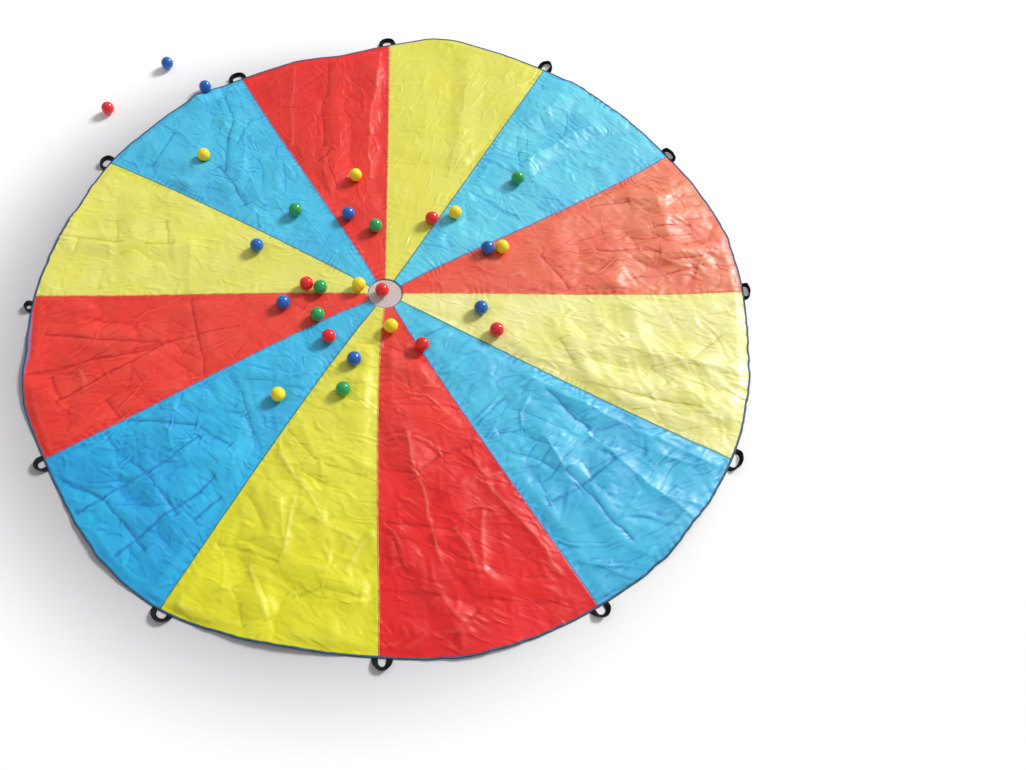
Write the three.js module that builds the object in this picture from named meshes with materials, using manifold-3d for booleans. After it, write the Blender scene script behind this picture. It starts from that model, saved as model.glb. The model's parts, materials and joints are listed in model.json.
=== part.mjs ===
import * as THREE from "three";
import { mergeVertices } from "three/addons/utils/BufferGeometryUtils.js";
import Module from "manifold-3d";

// A round play canopy of twelve sewn gores, laid out on the floor, with its hand loops and loose balls.
// Millimetres, +Z up, the floor at zero height, the vent's centre at the origin, 12 o'clock along +Y.

// Canopy
const canopyRadius = 1525;
const clothThickness = 1.5;
const fitGap = 0.3;
const rowSteps = 18;
const columnSteps = 8;

// Where the laid-out rim lies, as shares of the canopy's radius.
// One row for each gore, clockwise from 12 o'clock: at its first seam, a third and two thirds across.
const rimShares = [
  [1.015, 1.056, 1.046],
  [1.038, 1.032, 1.019],
  [1.014, 1.017, 1.016],
  [1.006, 0.997, 1.007],
  [1.009, 1.006, 1.006],
  [1.003, 1.003, 1.0],
  [0.987, 0.987, 1.003],
  [1.022, 1.019, 1.003],
  [0.996, 1.001, 0.986],
  [0.982, 0.971, 0.966],
  [0.977, 0.975, 0.98],
  [0.974, 0.977, 0.972],
];

// How far each seam leans clockwise of its clock hour, from 12 o'clock on.
const seamLeanDegrees = [0.8, 0.5, -0.5, -0.4, 0, 0.5, 0.8, 0.6, -0.4, -0.5, -0.1, 1.1];

const goreColours = ["yellow", "blue", "red"];

// Storage folds that stand up from the floor
const foldHeight = 9;
const foldHalfWidth = 95;

// Each fold: gore, then its two ends as shares of the radius and of the way across, then its height share.
const foldShares = [
  [1, 0.96, 0.55, 0.55, 0.8, 0.8],
  [1, 0.54, 0.2, 0.57, 0.74, 0.5],
  [2, 0.62, 0.36, 0.91, 0.52, 0.9],
  [2, 0.85, 0.19, 0.96, 0.24, 0.5],
  [3, 0.79, 0.43, 0.96, 0.46, 1],
  [3, 0.63, 0.54, 0.93, 0.7, 1],
  [3, 0.54, 0.39, 0.5, 0.85, 0.6],
  [4, 0.53, 0.56, 0.88, 0.47, 0.9],
  [4, 0.6, 0.85, 0.96, 0.76, 0.8],
  [4, 0.89, 0.45, 0.95, 0.25, 0.7],
  [5, 0.58, 0.49, 0.88, 0.67, 1],
  [5, 0.76, 0.66, 0.78, 0.38, 0.8],
  [5, 0.5, 0.15, 0.77, 0.15, 0.7],
  [6, 0.45, 0.72, 0.53, 0.68, 0.5],
  [6, 0.7, 0.9, 0.92, 0.62, 1],
  [6, 0.6, 0.38, 0.83, 0.45, 0.8],
  [7, 0.84, 0.1, 0.81, 0.67, 1],
  [7, 0.58, 0.83, 0.53, 0.15, 0.7],
  [7, 0.65, 0.73, 0.92, 0.59, 0.8],
  [8, 0.92, 0.63, 0.93, 0.2, 1],
  [8, 0.81, 0.57, 0.85, 0.18, 1],
  [8, 0.96, 0.35, 0.55, 0.3, 0.8],
  [9, 0.94, 0.74, 0.57, 0.5, 0.9],
  [9, 0.94, 0.3, 0.61, 0.45, 1],
  [9, 0.53, 0.78, 0.54, 0.2, 0.6],
  [10, 0.93, 0.39, 0.59, 0.53, 0.9],
  [10, 0.81, 0.78, 0.72, 0.2, 0.7],
  [11, 0.88, 0.82, 0.6, 0.34, 1],
  [11, 0.88, 0.2, 0.74, 0.3, 0.6],
  [12, 0.87, 0.61, 0.45, 0.3, 0.9],
  [12, 0.89, 0.88, 0.5, 0.75, 0.8],
  [12, 0.75, 0.42, 0.72, 0.85, 0.5],
];

// Tape folded round the rim
const bindingWidth = 8;
const bindingThickness = 3;

// Vent: a flat net inside a ring of the same tape
const ventRingRadius = 78;
const ventRingWidth = 5;
const ventRingThickness = 2.5;
const ventRingSteps = 48;
const netThickness = 1.2;
const netPitch = 12;
const netStrand = 1.8;
const netBorder = 2.5;

// Hand loops: webbing sewn into the binding at each seam, flat at its ends and tipped up towards its tip
const strapWidth = 22;
const strapThickness = 1.6;
const strapSteps = 16;
const loopSpan = 92;
const loopReach = 44;
const hingeHeight = bindingThickness;
const noseTurn = Math.PI / 5;
const twistShare = 0.85;
const bulgeProbes = 8;

// How each loop lies, clockwise from 12 o'clock, as shares.
// One row for each loop: its span, its reach, its shift clockwise, and how far its tip is turned on edge.
const loopShares = [
  [0.95, 0.75, -0.12, 0.6],
  [0.8, 1.1, 0, 1],
  [0.95, 0.5, 0, 1],
  [0.95, 0.5, 0, 1],
  [1.15, 0.8, 0, 0.7],
  [0.85, 0.9, 0, 0.6],
  [0.8, 0.95, -0.12, 0.5],
  [0.9, 0.85, -0.15, 0.5],
  [0.8, 0.9, -0.2, 0.6],
  [0.65, 0.6, -0.6, 0.8],
  [0.95, 0.8, -0.1, 0.8],
  [1, 0.75, -0.2, 0.7],
];

// Balls
const ballRadius = 30;
const ballDetail = 2;
const probeReach = ballRadius / 2;
const probeRings = 5;
const probesPerRing = 12;

// Each ball: its colour and its place over the canopy, as shares of the canopy's radius.
// Two balls that lie side by side share one place.
// A ball beside another or beside the rim then steps aside by shares of a ball's radius.
const ballShares = [
  ["yellow", -0.089, 0.42],
  ["green", -0.264, 0.286],
  ["blue", -0.108, 0.272],
  ["green", -0.028, 0.227],
  ["blue", -0.368, 0.155],
  ["red", -0.2, 0.016, -0.99, 0.31],
  ["green", -0.2, 0.016, 0.99, -0.31],
  ["yellow", -0.073, 0.019],
  ["red", -0.008, 0],
  ["blue", -0.281, -0.041],
  ["green", -0.185, -0.08],
  ["red", -0.152, -0.151],
  ["yellow", 0.016, -0.118],
  ["blue", -0.082, -0.221],
  ["red", 0.137, 0.254],
  ["yellow", 0.206, 0.276],
  ["green", 0.4, 0.408],
  ["blue", 0.315, 0.148, -1.07, -0.1],
  ["yellow", 0.315, 0.148, 1.07, 0.1],
  ["blue", 0.264, -0.059],
  ["red", 0.303, -0.13],
  ["red", 0.1, -0.176],
  ["green", -0.109, -0.312],
  ["yellow", -0.278, -0.328],
  ["yellow", -0.556, 0.501],
  ["blue", -0.718, 0.906],
  ["red", -0.882, 0.701],
  ["blue", -0.58, 0.7945, -0.097, 0.119],
];

// Finishes
const finishes = {
  yellow_cloth: { color: 0xe6e35a, roughness: 0.55, metalness: 0 },
  blue_cloth: { color: 0x4db8e8, roughness: 0.55, metalness: 0 },
  red_cloth: { color: 0xe8393b, roughness: 0.55, metalness: 0 },
  binding: { color: 0x2f5f9e, roughness: 0.7, metalness: 0 },
  net: { color: 0xe6e2ee, roughness: 0.8, metalness: 0 },
  webbing: { color: 0x141416, roughness: 0.85, metalness: 0 },
  red_ball: { color: 0xd8202a, roughness: 0.3, metalness: 0 },
  blue_ball: { color: 0x1f5fb0, roughness: 0.3, metalness: 0 },
  green_ball: { color: 0x1f9f4f, roughness: 0.3, metalness: 0 },
  yellow_ball: { color: 0xf8d020, roughness: 0.3, metalness: 0 },
};

const wasm = await Module();
wasm.setup();

const goreCount = rimShares.length;
const cornerCount = goreCount * columnSteps;

const steps = (count) => Array.from({ length: count }, (_, step) => step);

function clockDirection(turn) {
  return new THREE.Vector3(Math.sin(turn), Math.cos(turn), 0);
}

function seamTurn(seam) {
  const lean = THREE.MathUtils.degToRad(seamLeanDegrees[seam % goreCount]);
  return (2 * Math.PI * seam) / goreCount + lean;
}

function turnAcross(gore, share) {
  return THREE.MathUtils.lerp(seamTurn(gore), seamTurn(gore + 1), share);
}

// The rim runs smoothly through its measured points, and every piece along it shares the same corners.
const rimCurve = new THREE.CatmullRomCurve3(
  rimShares.flatMap((shares, gore) =>
    shares.map((share, third) => {
      const turn = turnAcross(gore, third / shares.length);
      return clockDirection(turn).multiplyScalar(share * canopyRadius);
    }),
  ),
  true,
);
const rimCorners = steps(cornerCount).map((corner) => rimCurve.getPoint(corner / cornerCount));

function rimCorner(corner) {
  return rimCorners[(corner + cornerCount) % cornerCount];
}

function pointOnRim(place) {
  const corner = Math.floor(place);
  return rimCorner(corner).clone().lerp(rimCorner(corner + 1), place - corner);
}

function towardsVent(point, distance) {
  return point.clone().setLength(point.length() - distance);
}

// A closed surface grown from points and faces that are wound to look outwards.
class Surface {
  constructor() {
    this.positions = [];
    this.faces = [];
  }

  point({ x, y, z }) {
    this.positions.push(x, y, z);
    return this.positions.length / 3 - 1;
  }

  triangle(a, b, c) {
    this.faces.push(a, b, c);
  }

  quad(a, b, c, d) {
    this.triangle(a, b, c);
    this.triangle(a, c, d);
  }

  // Joins equal rings of points, each ring to the next.
  skin(rings) {
    for (const [r, ring] of rings.slice(0, -1).entries()) {
      ring.forEach((corner, n) => {
        const next = (n + 1) % ring.length;
        this.quad(corner, ring[next], rings[r + 1][next], rings[r + 1][n]);
      });
    }
  }

  geometry() {
    const geometry = new THREE.BufferGeometry();
    geometry.setAttribute("position", new THREE.Float32BufferAttribute(this.positions, 3));
    geometry.setIndex(this.faces);
    geometry.computeVertexNormals();
    return geometry;
  }
}

// Height of a gore's folds over a place: each fold is a soft ridge along a line.
function foldHeightAt(gore, place) {
  const nearest = new THREE.Vector3();
  const heights = foldShares
    .filter(([owner]) => owner === gore + 1)
    .map(([, startRadius, startAcross, endRadius, endAcross, heightShare]) => {
      const start = clockDirection(turnAcross(gore, startAcross)).multiplyScalar(startRadius);
      const end = clockDirection(turnAcross(gore, endAcross)).multiplyScalar(endRadius);
      const ridge = new THREE.Line3(
        start.multiplyScalar(canopyRadius),
        end.multiplyScalar(canopyRadius),
      );
      ridge.closestPointToPoint(place, true, nearest);
      const reach = Math.min(1, nearest.distanceTo(place) / foldHalfWidth);
      return (foldHeight * heightShare * (1 + Math.cos(Math.PI * reach))) / 2;
    });
  return Math.max(0, ...heights);
}

// One gore: flat underneath, with its folds on top and edges that stay down on the floor.
function goreGeometry(gore) {
  const surface = new Surface();
  const columns = steps(columnSteps + 1).map((column) => {
    const corner = rimCorner(gore * columnSteps + column);
    const side = column === 0 ? 1 : column === columnSteps ? -1 : 0;
    const inset = new THREE.Vector3(corner.y, -corner.x, 0).setLength(fitGap / 2);
    return {
      inner: corner.clone().setLength(ventRingRadius + fitGap).addScaledVector(inset, side),
      outer: towardsVent(corner, bindingWidth + fitGap).addScaledVector(inset, side),
    };
  });
  const onEdge = (column, row) => column % columnSteps === 0 || row % rowSteps === 0;
  const place = (column, row) => {
    const { inner, outer } = columns[column];
    return inner.clone().lerp(outer, row / rowSteps);
  };
  const top = steps(columnSteps + 1).map((column) =>
    steps(rowSteps + 1).map((row) => {
      const point = place(column, row);
      point.z = clothThickness + (onEdge(column, row) ? 0 : foldHeightAt(gore, point));
      return surface.point(point);
    }),
  );
  const under = steps(columnSteps + 1).map((column) =>
    steps(rowSteps + 1).map((row) => onEdge(column, row) && surface.point(place(column, row))),
  );
  const last = columnSteps;
  for (const column of steps(columnSteps)) {
    const next = column + 1;
    surface.quad(under[column][0], under[next][0], top[next][0], top[column][0]);
    surface.quad(
      under[next][rowSteps],
      under[column][rowSteps],
      top[column][rowSteps],
      top[next][rowSteps],
    );
    for (const row of steps(rowSteps)) {
      surface.quad(top[column][row], top[next][row], top[next][row + 1], top[column][row + 1]);
    }
    if (column > 0 && next < last) {
      surface.quad(
        under[column][rowSteps],
        under[next][rowSteps],
        under[next][0],
        under[column][0],
      );
    }
  }
  surface.triangle(under[0][0], under[1][rowSteps], under[1][0]);
  surface.triangle(under[last - 1][0], under[last - 1][rowSteps], under[last][0]);
  for (const row of steps(rowSteps)) {
    surface.quad(under[0][row + 1], under[0][row], top[0][row], top[0][row + 1]);
    surface.quad(under[last][row], under[last][row + 1], top[last][row + 1], top[last][row]);
    surface.triangle(under[0][row], under[0][row + 1], under[1][rowSteps]);
    surface.triangle(under[last][row], under[last - 1][rowSteps], under[last][row + 1]);
  }
  return surface.geometry();
}

// The tape round the rim: one closed ring with a flat rectangular section.
function bindingGeometry() {
  const surface = new Surface();
  const rings = rimCorners.map((outer) => {
    const inner = towardsVent(outer, bindingWidth);
    const raise = (point, z) => surface.point(point.clone().setZ(z));
    return [
      raise(inner, 0),
      raise(outer, 0),
      raise(outer, bindingThickness),
      raise(inner, bindingThickness),
    ];
  });
  surface.skin([...rings, rings[0]]);
  return surface.geometry();
}

function ventRingGeometry() {
  const inner = ventRingRadius - ventRingWidth;
  const profile = [
    new THREE.Vector2(inner, 0),
    new THREE.Vector2(ventRingRadius, 0),
    new THREE.Vector2(ventRingRadius, ventRingThickness),
    new THREE.Vector2(inner, ventRingThickness),
    new THREE.Vector2(inner, 0),
  ];
  return new THREE.LatheGeometry(profile, ventRingSteps).rotateX(Math.PI / 2);
}

function solidOf(geometry) {
  const bare = new THREE.BufferGeometry().setAttribute("position", geometry.getAttribute("position"));
  const merged = mergeVertices(bare.setIndex(geometry.index));
  return new wasm.Manifold(
    new wasm.Mesh({
      numProp: 3,
      vertProperties: merged.getAttribute("position").array,
      triVerts: new Uint32Array(merged.index.array),
    }),
  );
}

function geometryOf(solid) {
  const { vertProperties, triVerts } = solid.getMesh();
  const geometry = new THREE.BufferGeometry();
  geometry.setAttribute("position", new THREE.BufferAttribute(vertProperties, 3));
  geometry.setIndex(new THREE.BufferAttribute(triVerts, 1));
  geometry.computeVertexNormals();
  return geometry;
}

// A flat square net with two strands crossing at its centre, cut round to fit inside the vent's ring.
function netGeometry() {
  const innerFlat = (ventRingRadius - ventRingWidth) * Math.cos(Math.PI / ventRingSteps);
  const netRadius = innerFlat - fitGap;
  const disc = new THREE.CylinderGeometry(netRadius, netRadius, netThickness, ventRingSteps);
  const opening = new THREE.BoxGeometry(netPitch - netStrand, netPitch - netStrand, 2 * netThickness);
  const halfCount = Math.ceil(netRadius / netPitch);
  const openings = steps(2 * halfCount)
    .flatMap((column) => steps(2 * halfCount).map((row) => [column, row]))
    .map(([column, row]) => new THREE.Vector2(column, row).addScalar(1 / 2 - halfCount))
    .map((place) => place.multiplyScalar(netPitch))
    .filter((centre) => centre.length() < netRadius - netBorder - netPitch / Math.SQRT2)
    .map((centre) => solidOf(opening.clone().translate(centre.x, centre.y, netThickness / 2)));
  const whole = solidOf(disc.rotateX(Math.PI / 2).translate(0, 0, netThickness / 2));
  return geometryOf(whole.subtract(wasm.Manifold.union(openings)));
}

// A strap loop in its own frame: x along the rim, y outwards from the hinge line, z up.
// Its ends lie flat with a round nose on the hinge line, and it twists on edge towards the tip.
function loopGeometry(span, reach, tipTwist) {
  const surface = new Surface();
  const half = (span - strapWidth) / 2;
  const overhang = (strapThickness * Math.sin(tipTwist) + strapWidth * Math.cos(tipTwist)) / 2;
  const depth = reach - overhang;
  const upward = new THREE.Vector3(0, 0, 1);
  const section = (centre, across, through) => {
    const corner = (side, face) =>
      surface.point(centre.clone().addScaledVector(across, side).addScaledVector(through, face));
    return [corner(1, -1), corner(1, 1), corner(-1, 1), corner(-1, -1)];
  };
  const sections = steps(strapSteps + 1).map((step) => {
    const turn = (Math.PI * step) / strapSteps;
    const forward = new THREE.Vector3(half * Math.sin(turn), depth * Math.cos(turn), 0);
    const sideways = upward.clone().cross(forward).normalize();
    const settled = THREE.MathUtils.smoothstep(Math.sin(turn), 0, twistShare);
    const rise = Math.sin(tipTwist * settled);
    const flat = Math.cos(tipTwist * settled);
    const restHeight = (strapWidth * rise + strapThickness * flat) / 2 - hingeHeight;
    const raised = (hingeHeight - strapThickness / 2) * (1 - settled);
    const centre = new THREE.Vector3(
      -half * Math.cos(turn),
      depth * Math.sin(turn),
      restHeight + raised,
    );
    const across = sideways.clone().multiplyScalar(flat).addScaledVector(upward, rise);
    const through = forward.clone().cross(across).normalize();
    return { centre, across: across.multiplyScalar(strapWidth / 2), through };
  });
  const nose = ({ centre, across, through }) => {
    const point = centre.clone().setY((-strapThickness / 2) * Math.cos(noseTurn));
    return section(point, across, through.clone().setLength((strapThickness / 2) * Math.sin(noseTurn)));
  };
  const rings = [
    nose(sections[0]),
    ...sections.map(({ centre, across, through }) =>
      section(centre, across, through.clone().setLength(strapThickness / 2)),
    ),
    nose(sections[strapSteps]),
  ];
  surface.skin(rings);
  surface.quad(...rings[0].toReversed());
  surface.quad(...rings.at(-1));
  return surface.geometry();
}

function named(name, geometry, finish) {
  const mesh = new THREE.Mesh(geometry, new THREE.MeshStandardMaterial(finishes[finish]));
  mesh.name = name;
  return mesh;
}

function clockName(seam) {
  return String(seam || goreCount).padStart(2, "0");
}

// A loop hinges on a straight line just outside the binding, held off by its own fit gap.
function handLoop(seam) {
  const [spanShare, reachShare, shiftShare, edgeShare] = loopShares[seam];
  const span = loopSpan * spanShare;
  const reach = loopReach * reachShare;
  const cornerAt = seam * columnSteps;
  const spacing = rimCorner(cornerAt).distanceTo(rimCorner(cornerAt + 1));
  const middle = cornerAt + (loopSpan * shiftShare) / spacing;
  const halfPlaces = span / 2 / spacing;
  const start = pointOnRim(middle - halfPlaces);
  const end = pointOnRim(middle + halfPlaces);
  const along = end.clone().sub(start).normalize();
  const outward = new THREE.Vector3(-along.y, along.x, 0);
  const bulges = steps(bulgeProbes + 1)
    .map((probe) => halfPlaces - (strapWidth * probe) / bulgeProbes / spacing)
    .flatMap((place) => [middle - place, middle + place])
    .map((place) => pointOnRim(place).sub(start).dot(outward));
  const tipTwist = (edgeShare * Math.PI) / 2;
  const mesh = named(`handle_${clockName(seam)}`, loopGeometry(span, reach, tipTwist), "webbing");
  const offset = Math.max(...bulges) + fitGap + strapThickness / 2;
  mesh.position.copy(start.lerp(end, 1 / 2).addScaledVector(outward, offset));
  mesh.position.z = hingeHeight;
  mesh.rotation.z = Math.atan2(along.y, along.x);
  return mesh;
}

const canopy = new THREE.Group();
for (const gore of steps(goreCount)) {
  const colour = goreColours[gore % goreColours.length];
  const name = `gore_${clockName(gore + 1)}_${colour}`;
  canopy.add(named(name, goreGeometry(gore), `${colour}_cloth`));
}
canopy.add(
  named("rim_binding", bindingGeometry(), "binding"),
  named("vent_ring", ventRingGeometry(), "binding"),
  named("vent_net", netGeometry(), "net"),
);

const handles = new THREE.Group();
for (const seam of steps(goreCount)) {
  handles.add(handLoop(seam));
}

// The height at which a ball comes down on what lies under it, probed over its underside.
// The net's openings are too small for a ball to sink in.
function ballHeight(x, y) {
  const downward = new THREE.Raycaster();
  const overNet = Math.hypot(x, y) < ventRingRadius ? netThickness + fitGap : 0;
  const heights = steps(probeRings + 1).flatMap((ring) => {
    const distance = (probeReach * ring) / probeRings;
    const rise = Math.sqrt(ballRadius ** 2 - distance ** 2);
    return steps(ring ? probesPerRing : 1).map((probe) => {
      const offset = clockDirection((2 * Math.PI * probe) / probesPerRing).multiplyScalar(distance);
      const start = new THREE.Vector3(x, y, canopyRadius).add(offset);
      downward.set(start, new THREE.Vector3(0, 0, -1));
      const [hit] = downward.intersectObject(canopy);
      return hit ? hit.point.z + fitGap + rise : rise;
    });
  });
  return Math.max(overNet + ballRadius, ...heights);
}

// A ball with one corner of its surface straight down, where it rests.
function ballGeometry() {
  const goldenRatio = (1 + Math.sqrt(5)) / 2;
  const geometry = new THREE.IcosahedronGeometry(ballRadius, ballDetail);
  return geometry.rotateX(Math.atan(1 / goldenRatio));
}

const balls = new THREE.Group();
const ballCounts = {};
for (const [colour, xShare, yShare, besideX = 0, besideY = 0] of ballShares) {
  ballCounts[colour] = (ballCounts[colour] ?? 0) + 1;
  const ball = named(`ball_${colour}_${ballCounts[colour]}`, ballGeometry(), `${colour}_ball`);
  const x = xShare * canopyRadius + besideX * ballRadius;
  const y = yShare * canopyRadius + besideY * ballRadius;
  ball.position.set(x, y, ballHeight(x, y));
  balls.add(ball);
}

const group = new THREE.Group();
group.add(canopy, handles, balls);

export default group;
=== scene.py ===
"""A play canopy laid out on the floor: twelve sewn gores, a vent net, hand loops and loose balls.

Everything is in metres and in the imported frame: +Z up, the vent's centre at the origin and 12 o'clock
along +Y. A turn is an angle clockwise from 12 o'clock, in radians. Noise is named by its size and its
salt, which tells noises of one size apart.
"""

import json
import logging
import math
from dataclasses import dataclass
from enum import Enum
from typing import NamedTuple

import bmesh
import bpy
import numpy as np
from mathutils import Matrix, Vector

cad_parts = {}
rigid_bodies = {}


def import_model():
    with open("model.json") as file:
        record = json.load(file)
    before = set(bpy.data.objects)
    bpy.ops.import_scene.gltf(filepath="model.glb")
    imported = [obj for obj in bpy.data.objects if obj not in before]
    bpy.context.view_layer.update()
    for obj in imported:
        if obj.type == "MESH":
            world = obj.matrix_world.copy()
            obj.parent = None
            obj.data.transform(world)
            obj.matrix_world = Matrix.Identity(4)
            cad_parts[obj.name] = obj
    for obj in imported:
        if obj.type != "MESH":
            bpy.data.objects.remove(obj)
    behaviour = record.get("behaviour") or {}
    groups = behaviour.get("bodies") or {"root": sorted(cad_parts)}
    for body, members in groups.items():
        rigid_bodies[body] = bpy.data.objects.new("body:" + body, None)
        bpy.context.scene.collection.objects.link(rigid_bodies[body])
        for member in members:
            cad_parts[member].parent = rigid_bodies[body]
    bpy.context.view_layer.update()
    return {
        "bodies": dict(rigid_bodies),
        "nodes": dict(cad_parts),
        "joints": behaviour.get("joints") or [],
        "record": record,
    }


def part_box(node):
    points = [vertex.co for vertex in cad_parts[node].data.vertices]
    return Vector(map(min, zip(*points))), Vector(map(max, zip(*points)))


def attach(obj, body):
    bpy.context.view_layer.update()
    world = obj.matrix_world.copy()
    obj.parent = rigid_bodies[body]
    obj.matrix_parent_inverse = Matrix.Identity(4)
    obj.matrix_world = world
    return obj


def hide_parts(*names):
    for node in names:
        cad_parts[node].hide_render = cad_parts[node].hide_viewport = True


LOG = logging.getLogger("canopy")
GORES = 12
FULL_TURN = 2 * math.pi
RADIUS = 1.525  # the canopy's usual radius
CORE = 0.05  # the share of it at which gores and seams start, under the vent's ring
BALL_RADIUS = 0.03
UP = np.array([0.0, 0.0, 1.0])
MIXERS = (374761393, 668265263, 97531, 1274126177, 224682251)  # odd factors that scatter lattice cells

Array = np.ndarray
Piece = bpy.types.Object
Material = bpy.types.Material
Tree = bpy.types.NodeTree
Node = bpy.types.Node
Socket = bpy.types.NodeSocket
Colour = tuple[float, float, float, float]
Place = tuple[float, float, float]
Value = Socket | float | tuple[float, ...]


class Dye(Enum):
    """A cloth or ball colour, as it is named in the record's slots."""

    YELLOW = "yellow"
    BLUE = "blue"
    RED = "red"
    GREEN = "green"


GORE_DYES = (Dye.YELLOW, Dye.BLUE, Dye.RED)


def linear(red: int, green: int, blue: int) -> Colour:
    """A display colour as the linear colour that a shader takes, by the usual curve of displays.

    Args:
        red: Red, 0 to 255.
        green: Green, 0 to 255.
        blue: Blue, 0 to 255.

    Returns:
        Linear red, green, blue and an alpha of one.
    """
    shares = [channel / 255 for channel in (red, green, blue)]
    curved = [s / 12.92 if s <= 0.04045 else ((s + 0.055) / 1.055) ** 2.4 for s in shares]
    return (curved[0], curved[1], curved[2], 1.0)


def smooth(share: Array) -> Array:
    """Eases a share from 0 to 1: three squares less two cubes, held at both ends."""
    held = np.clip(share, 0.0, 1.0)
    return held * held * (3 - 2 * held)


def chance(column: Array, row: Array, salt: int) -> Array:
    """A fixed random number for each lattice cell: its indices mixed by odd factors and shifted bits.

    Args:
        column: The cells' columns.
        row: The cells' rows.
        salt: Which set of numbers.

    Returns:
        A number from 0 to 1 for each cell.
    """
    mask = 0xFFFFFFFF
    by_column, by_row, by_salt, once, again = MIXERS
    mixed = column.astype(np.int64) * by_column + row.astype(np.int64) * by_row + salt * by_salt
    mixed &= mask
    mixed = ((mixed ^ (mixed >> 13)) * once) & mask
    mixed = ((mixed ^ (mixed >> 16)) * again) & mask
    return (mixed ^ (mixed >> 15)) / mask


def soft_noise(x: Array, y: Array, size: float, salt: int) -> Array:
    """Soft noise from -1 to 1: random lattice values, a size apart, eased into each other.

    Args:
        x: Places along X.
        y: Places along Y.
        size: The lattice's pitch.
        salt: Which noise of that size.

    Returns:
        The noise at each place.
    """
    u, v = x / size, y / size
    column, row = np.floor(u), np.floor(v)
    right, up = smooth(u - column), smooth(v - row)
    low = chance(column, row, salt) * (1 - right) + chance(column + 1, row, salt) * right
    high = chance(column, row + 1, salt) * (1 - right) + chance(column + 1, row + 1, salt) * right
    return 2 * (low * (1 - up) + high * up) - 1


@dataclass(frozen=True)
class Crumpling:
    """Crumpled facets, flat-sided and sharp where they meet.

    Each place belongs to the nearest of a jittered lattice of points. The surface is a shallow bowl about
    that point, squared distance high, and neighbouring bowls are eased together: the nearness is minus the
    logarithm of the summed exponentials of all the negative distances. A slow noise turns ridges into
    valleys, and another bends the lattice.
    """

    ease: float = 16.0  # how sharply facets meet
    bend: float = 0.35  # how far the lattice is bent, in facets
    bend_size: float = 1.7  # the size of the noise that bends it, in facets
    margin: float = 0.1  # how far a point keeps from its cell's edge, in cells
    mean: float = 0.25  # the bowls' mean height, which is taken off
    gain: float = 2.4  # what brings the heights to about one
    side_size: float = 2.3  # the size of the noise that turns ridges into valleys, in facets
    side_gain: float = 1.8  # how quickly it turns them

    def height(self, x: Array, y: Array, size: float, salt: int) -> Array:
        """The facets' height.

        Args:
            x: Places along X.
            y: Places along Y.
            size: The facets' usual width.
            salt: Which crumpling of that size.

        Returns:
            The height at each place, from about -1 to 1.
        """
        u = (x + self.bend * size * soft_noise(x, y, self.bend_size * size, salt + 1)) / size
        v = (y + self.bend * size * soft_noise(x, y, self.bend_size * size, salt + 2)) / size
        column, row = np.floor(u), np.floor(v)
        room = 1 - 2 * self.margin
        summed = np.zeros(u.shape)
        for across in (-1, 0, 1):
            for along in (-1, 0, 1):
                cell_x, cell_y = column + across, row + along
                point_x = cell_x + self.margin + room * chance(cell_x, cell_y, salt + 3)
                point_y = cell_y + self.margin + room * chance(cell_x, cell_y, salt + 4)
                summed += np.exp(-self.ease * ((point_x - u) ** 2 + (point_y - v) ** 2))
        nearest = -np.log(summed) / self.ease
        side = soft_noise(x, y, self.side_size * size, salt + 5)
        return self.gain * (nearest - self.mean) * np.clip(self.side_gain * side, -1, 1)


class Layer(NamedTuple):
    """One size of a noise: its height, its size and its salt."""

    height: float
    size: float
    salt: int


def layered(rows: tuple[Layer, ...], x: Array, y: Array) -> Array:
    """Soft noise of several sizes, each times its height, added up."""
    return sum(row.height * soft_noise(x, y, row.size, row.salt) for row in rows)


@dataclass
class Grid:
    """A surface of two parameters: rows by columns of points, with two cloth coordinates for each."""

    points: Array  # rows by columns by three
    cloth: Array  # rows by columns by two, in metres along the cloth
    loop_rows: bool = False  # whether the last row joins the first
    loop_columns: bool = False  # whether the last column joins the first

    def faces(self) -> Array:
        """The grid's quads.

        Returns:
            Four point numbers for each quad, wound rows first.
        """
        rows, columns = self.points.shape[:2]
        r = np.arange(rows if self.loop_rows else rows - 1)[:, None]
        c = np.arange(columns if self.loop_columns else columns - 1)[None, :]
        below, right = (r + 1) % rows, (c + 1) % columns
        corners = (r * columns + c, r * columns + right, below * columns + right, below * columns + c)
        return np.stack([np.broadcast_to(q, (r.size, c.size)).ravel() for q in corners], axis=1)


def make_mesh(
    name: str,
    points: Array,
    faces: Array,
    cloth: Array | None = None,
    masks: dict[str, Array] | None = None,
) -> Piece:
    """Makes an object from points and quads.

    Args:
        name: The object's name.
        points: Points by three, in metres.
        faces: Quads, as four point numbers each.
        cloth: Two cloth coordinates for each point, kept as the UV map "cloth".
        masks: Named numbers for each point, kept as attributes.

    Returns:
        The new object, smooth shaded and linked to the scene.
    """
    mesh = bpy.data.meshes.new(name)
    mesh.vertices.add(len(points))
    mesh.vertices.foreach_set("co", points.astype(np.float32).ravel())
    mesh.loops.add(faces.size)
    mesh.loops.foreach_set("vertex_index", faces.astype(np.int32).ravel())
    mesh.polygons.add(len(faces))
    mesh.polygons.foreach_set("loop_start", np.arange(len(faces), dtype=np.int32) * 4)
    mesh.polygons.foreach_set("use_smooth", np.ones(len(faces), dtype=bool))
    mesh.update(calc_edges=True)
    if cloth is not None:
        layer = mesh.uv_layers.new(name="cloth")
        layer.data.foreach_set("uv", cloth.astype(np.float32)[faces.ravel()].ravel())
    for mask, values in (masks or {}).items():
        attribute = mesh.attributes.new(mask, "FLOAT", "POINT")
        attribute.data.foreach_set("value", values.astype(np.float32))
    mesh.validate()
    made = bpy.data.objects.new(name, mesh)
    bpy.context.scene.collection.objects.link(made)
    return made


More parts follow.
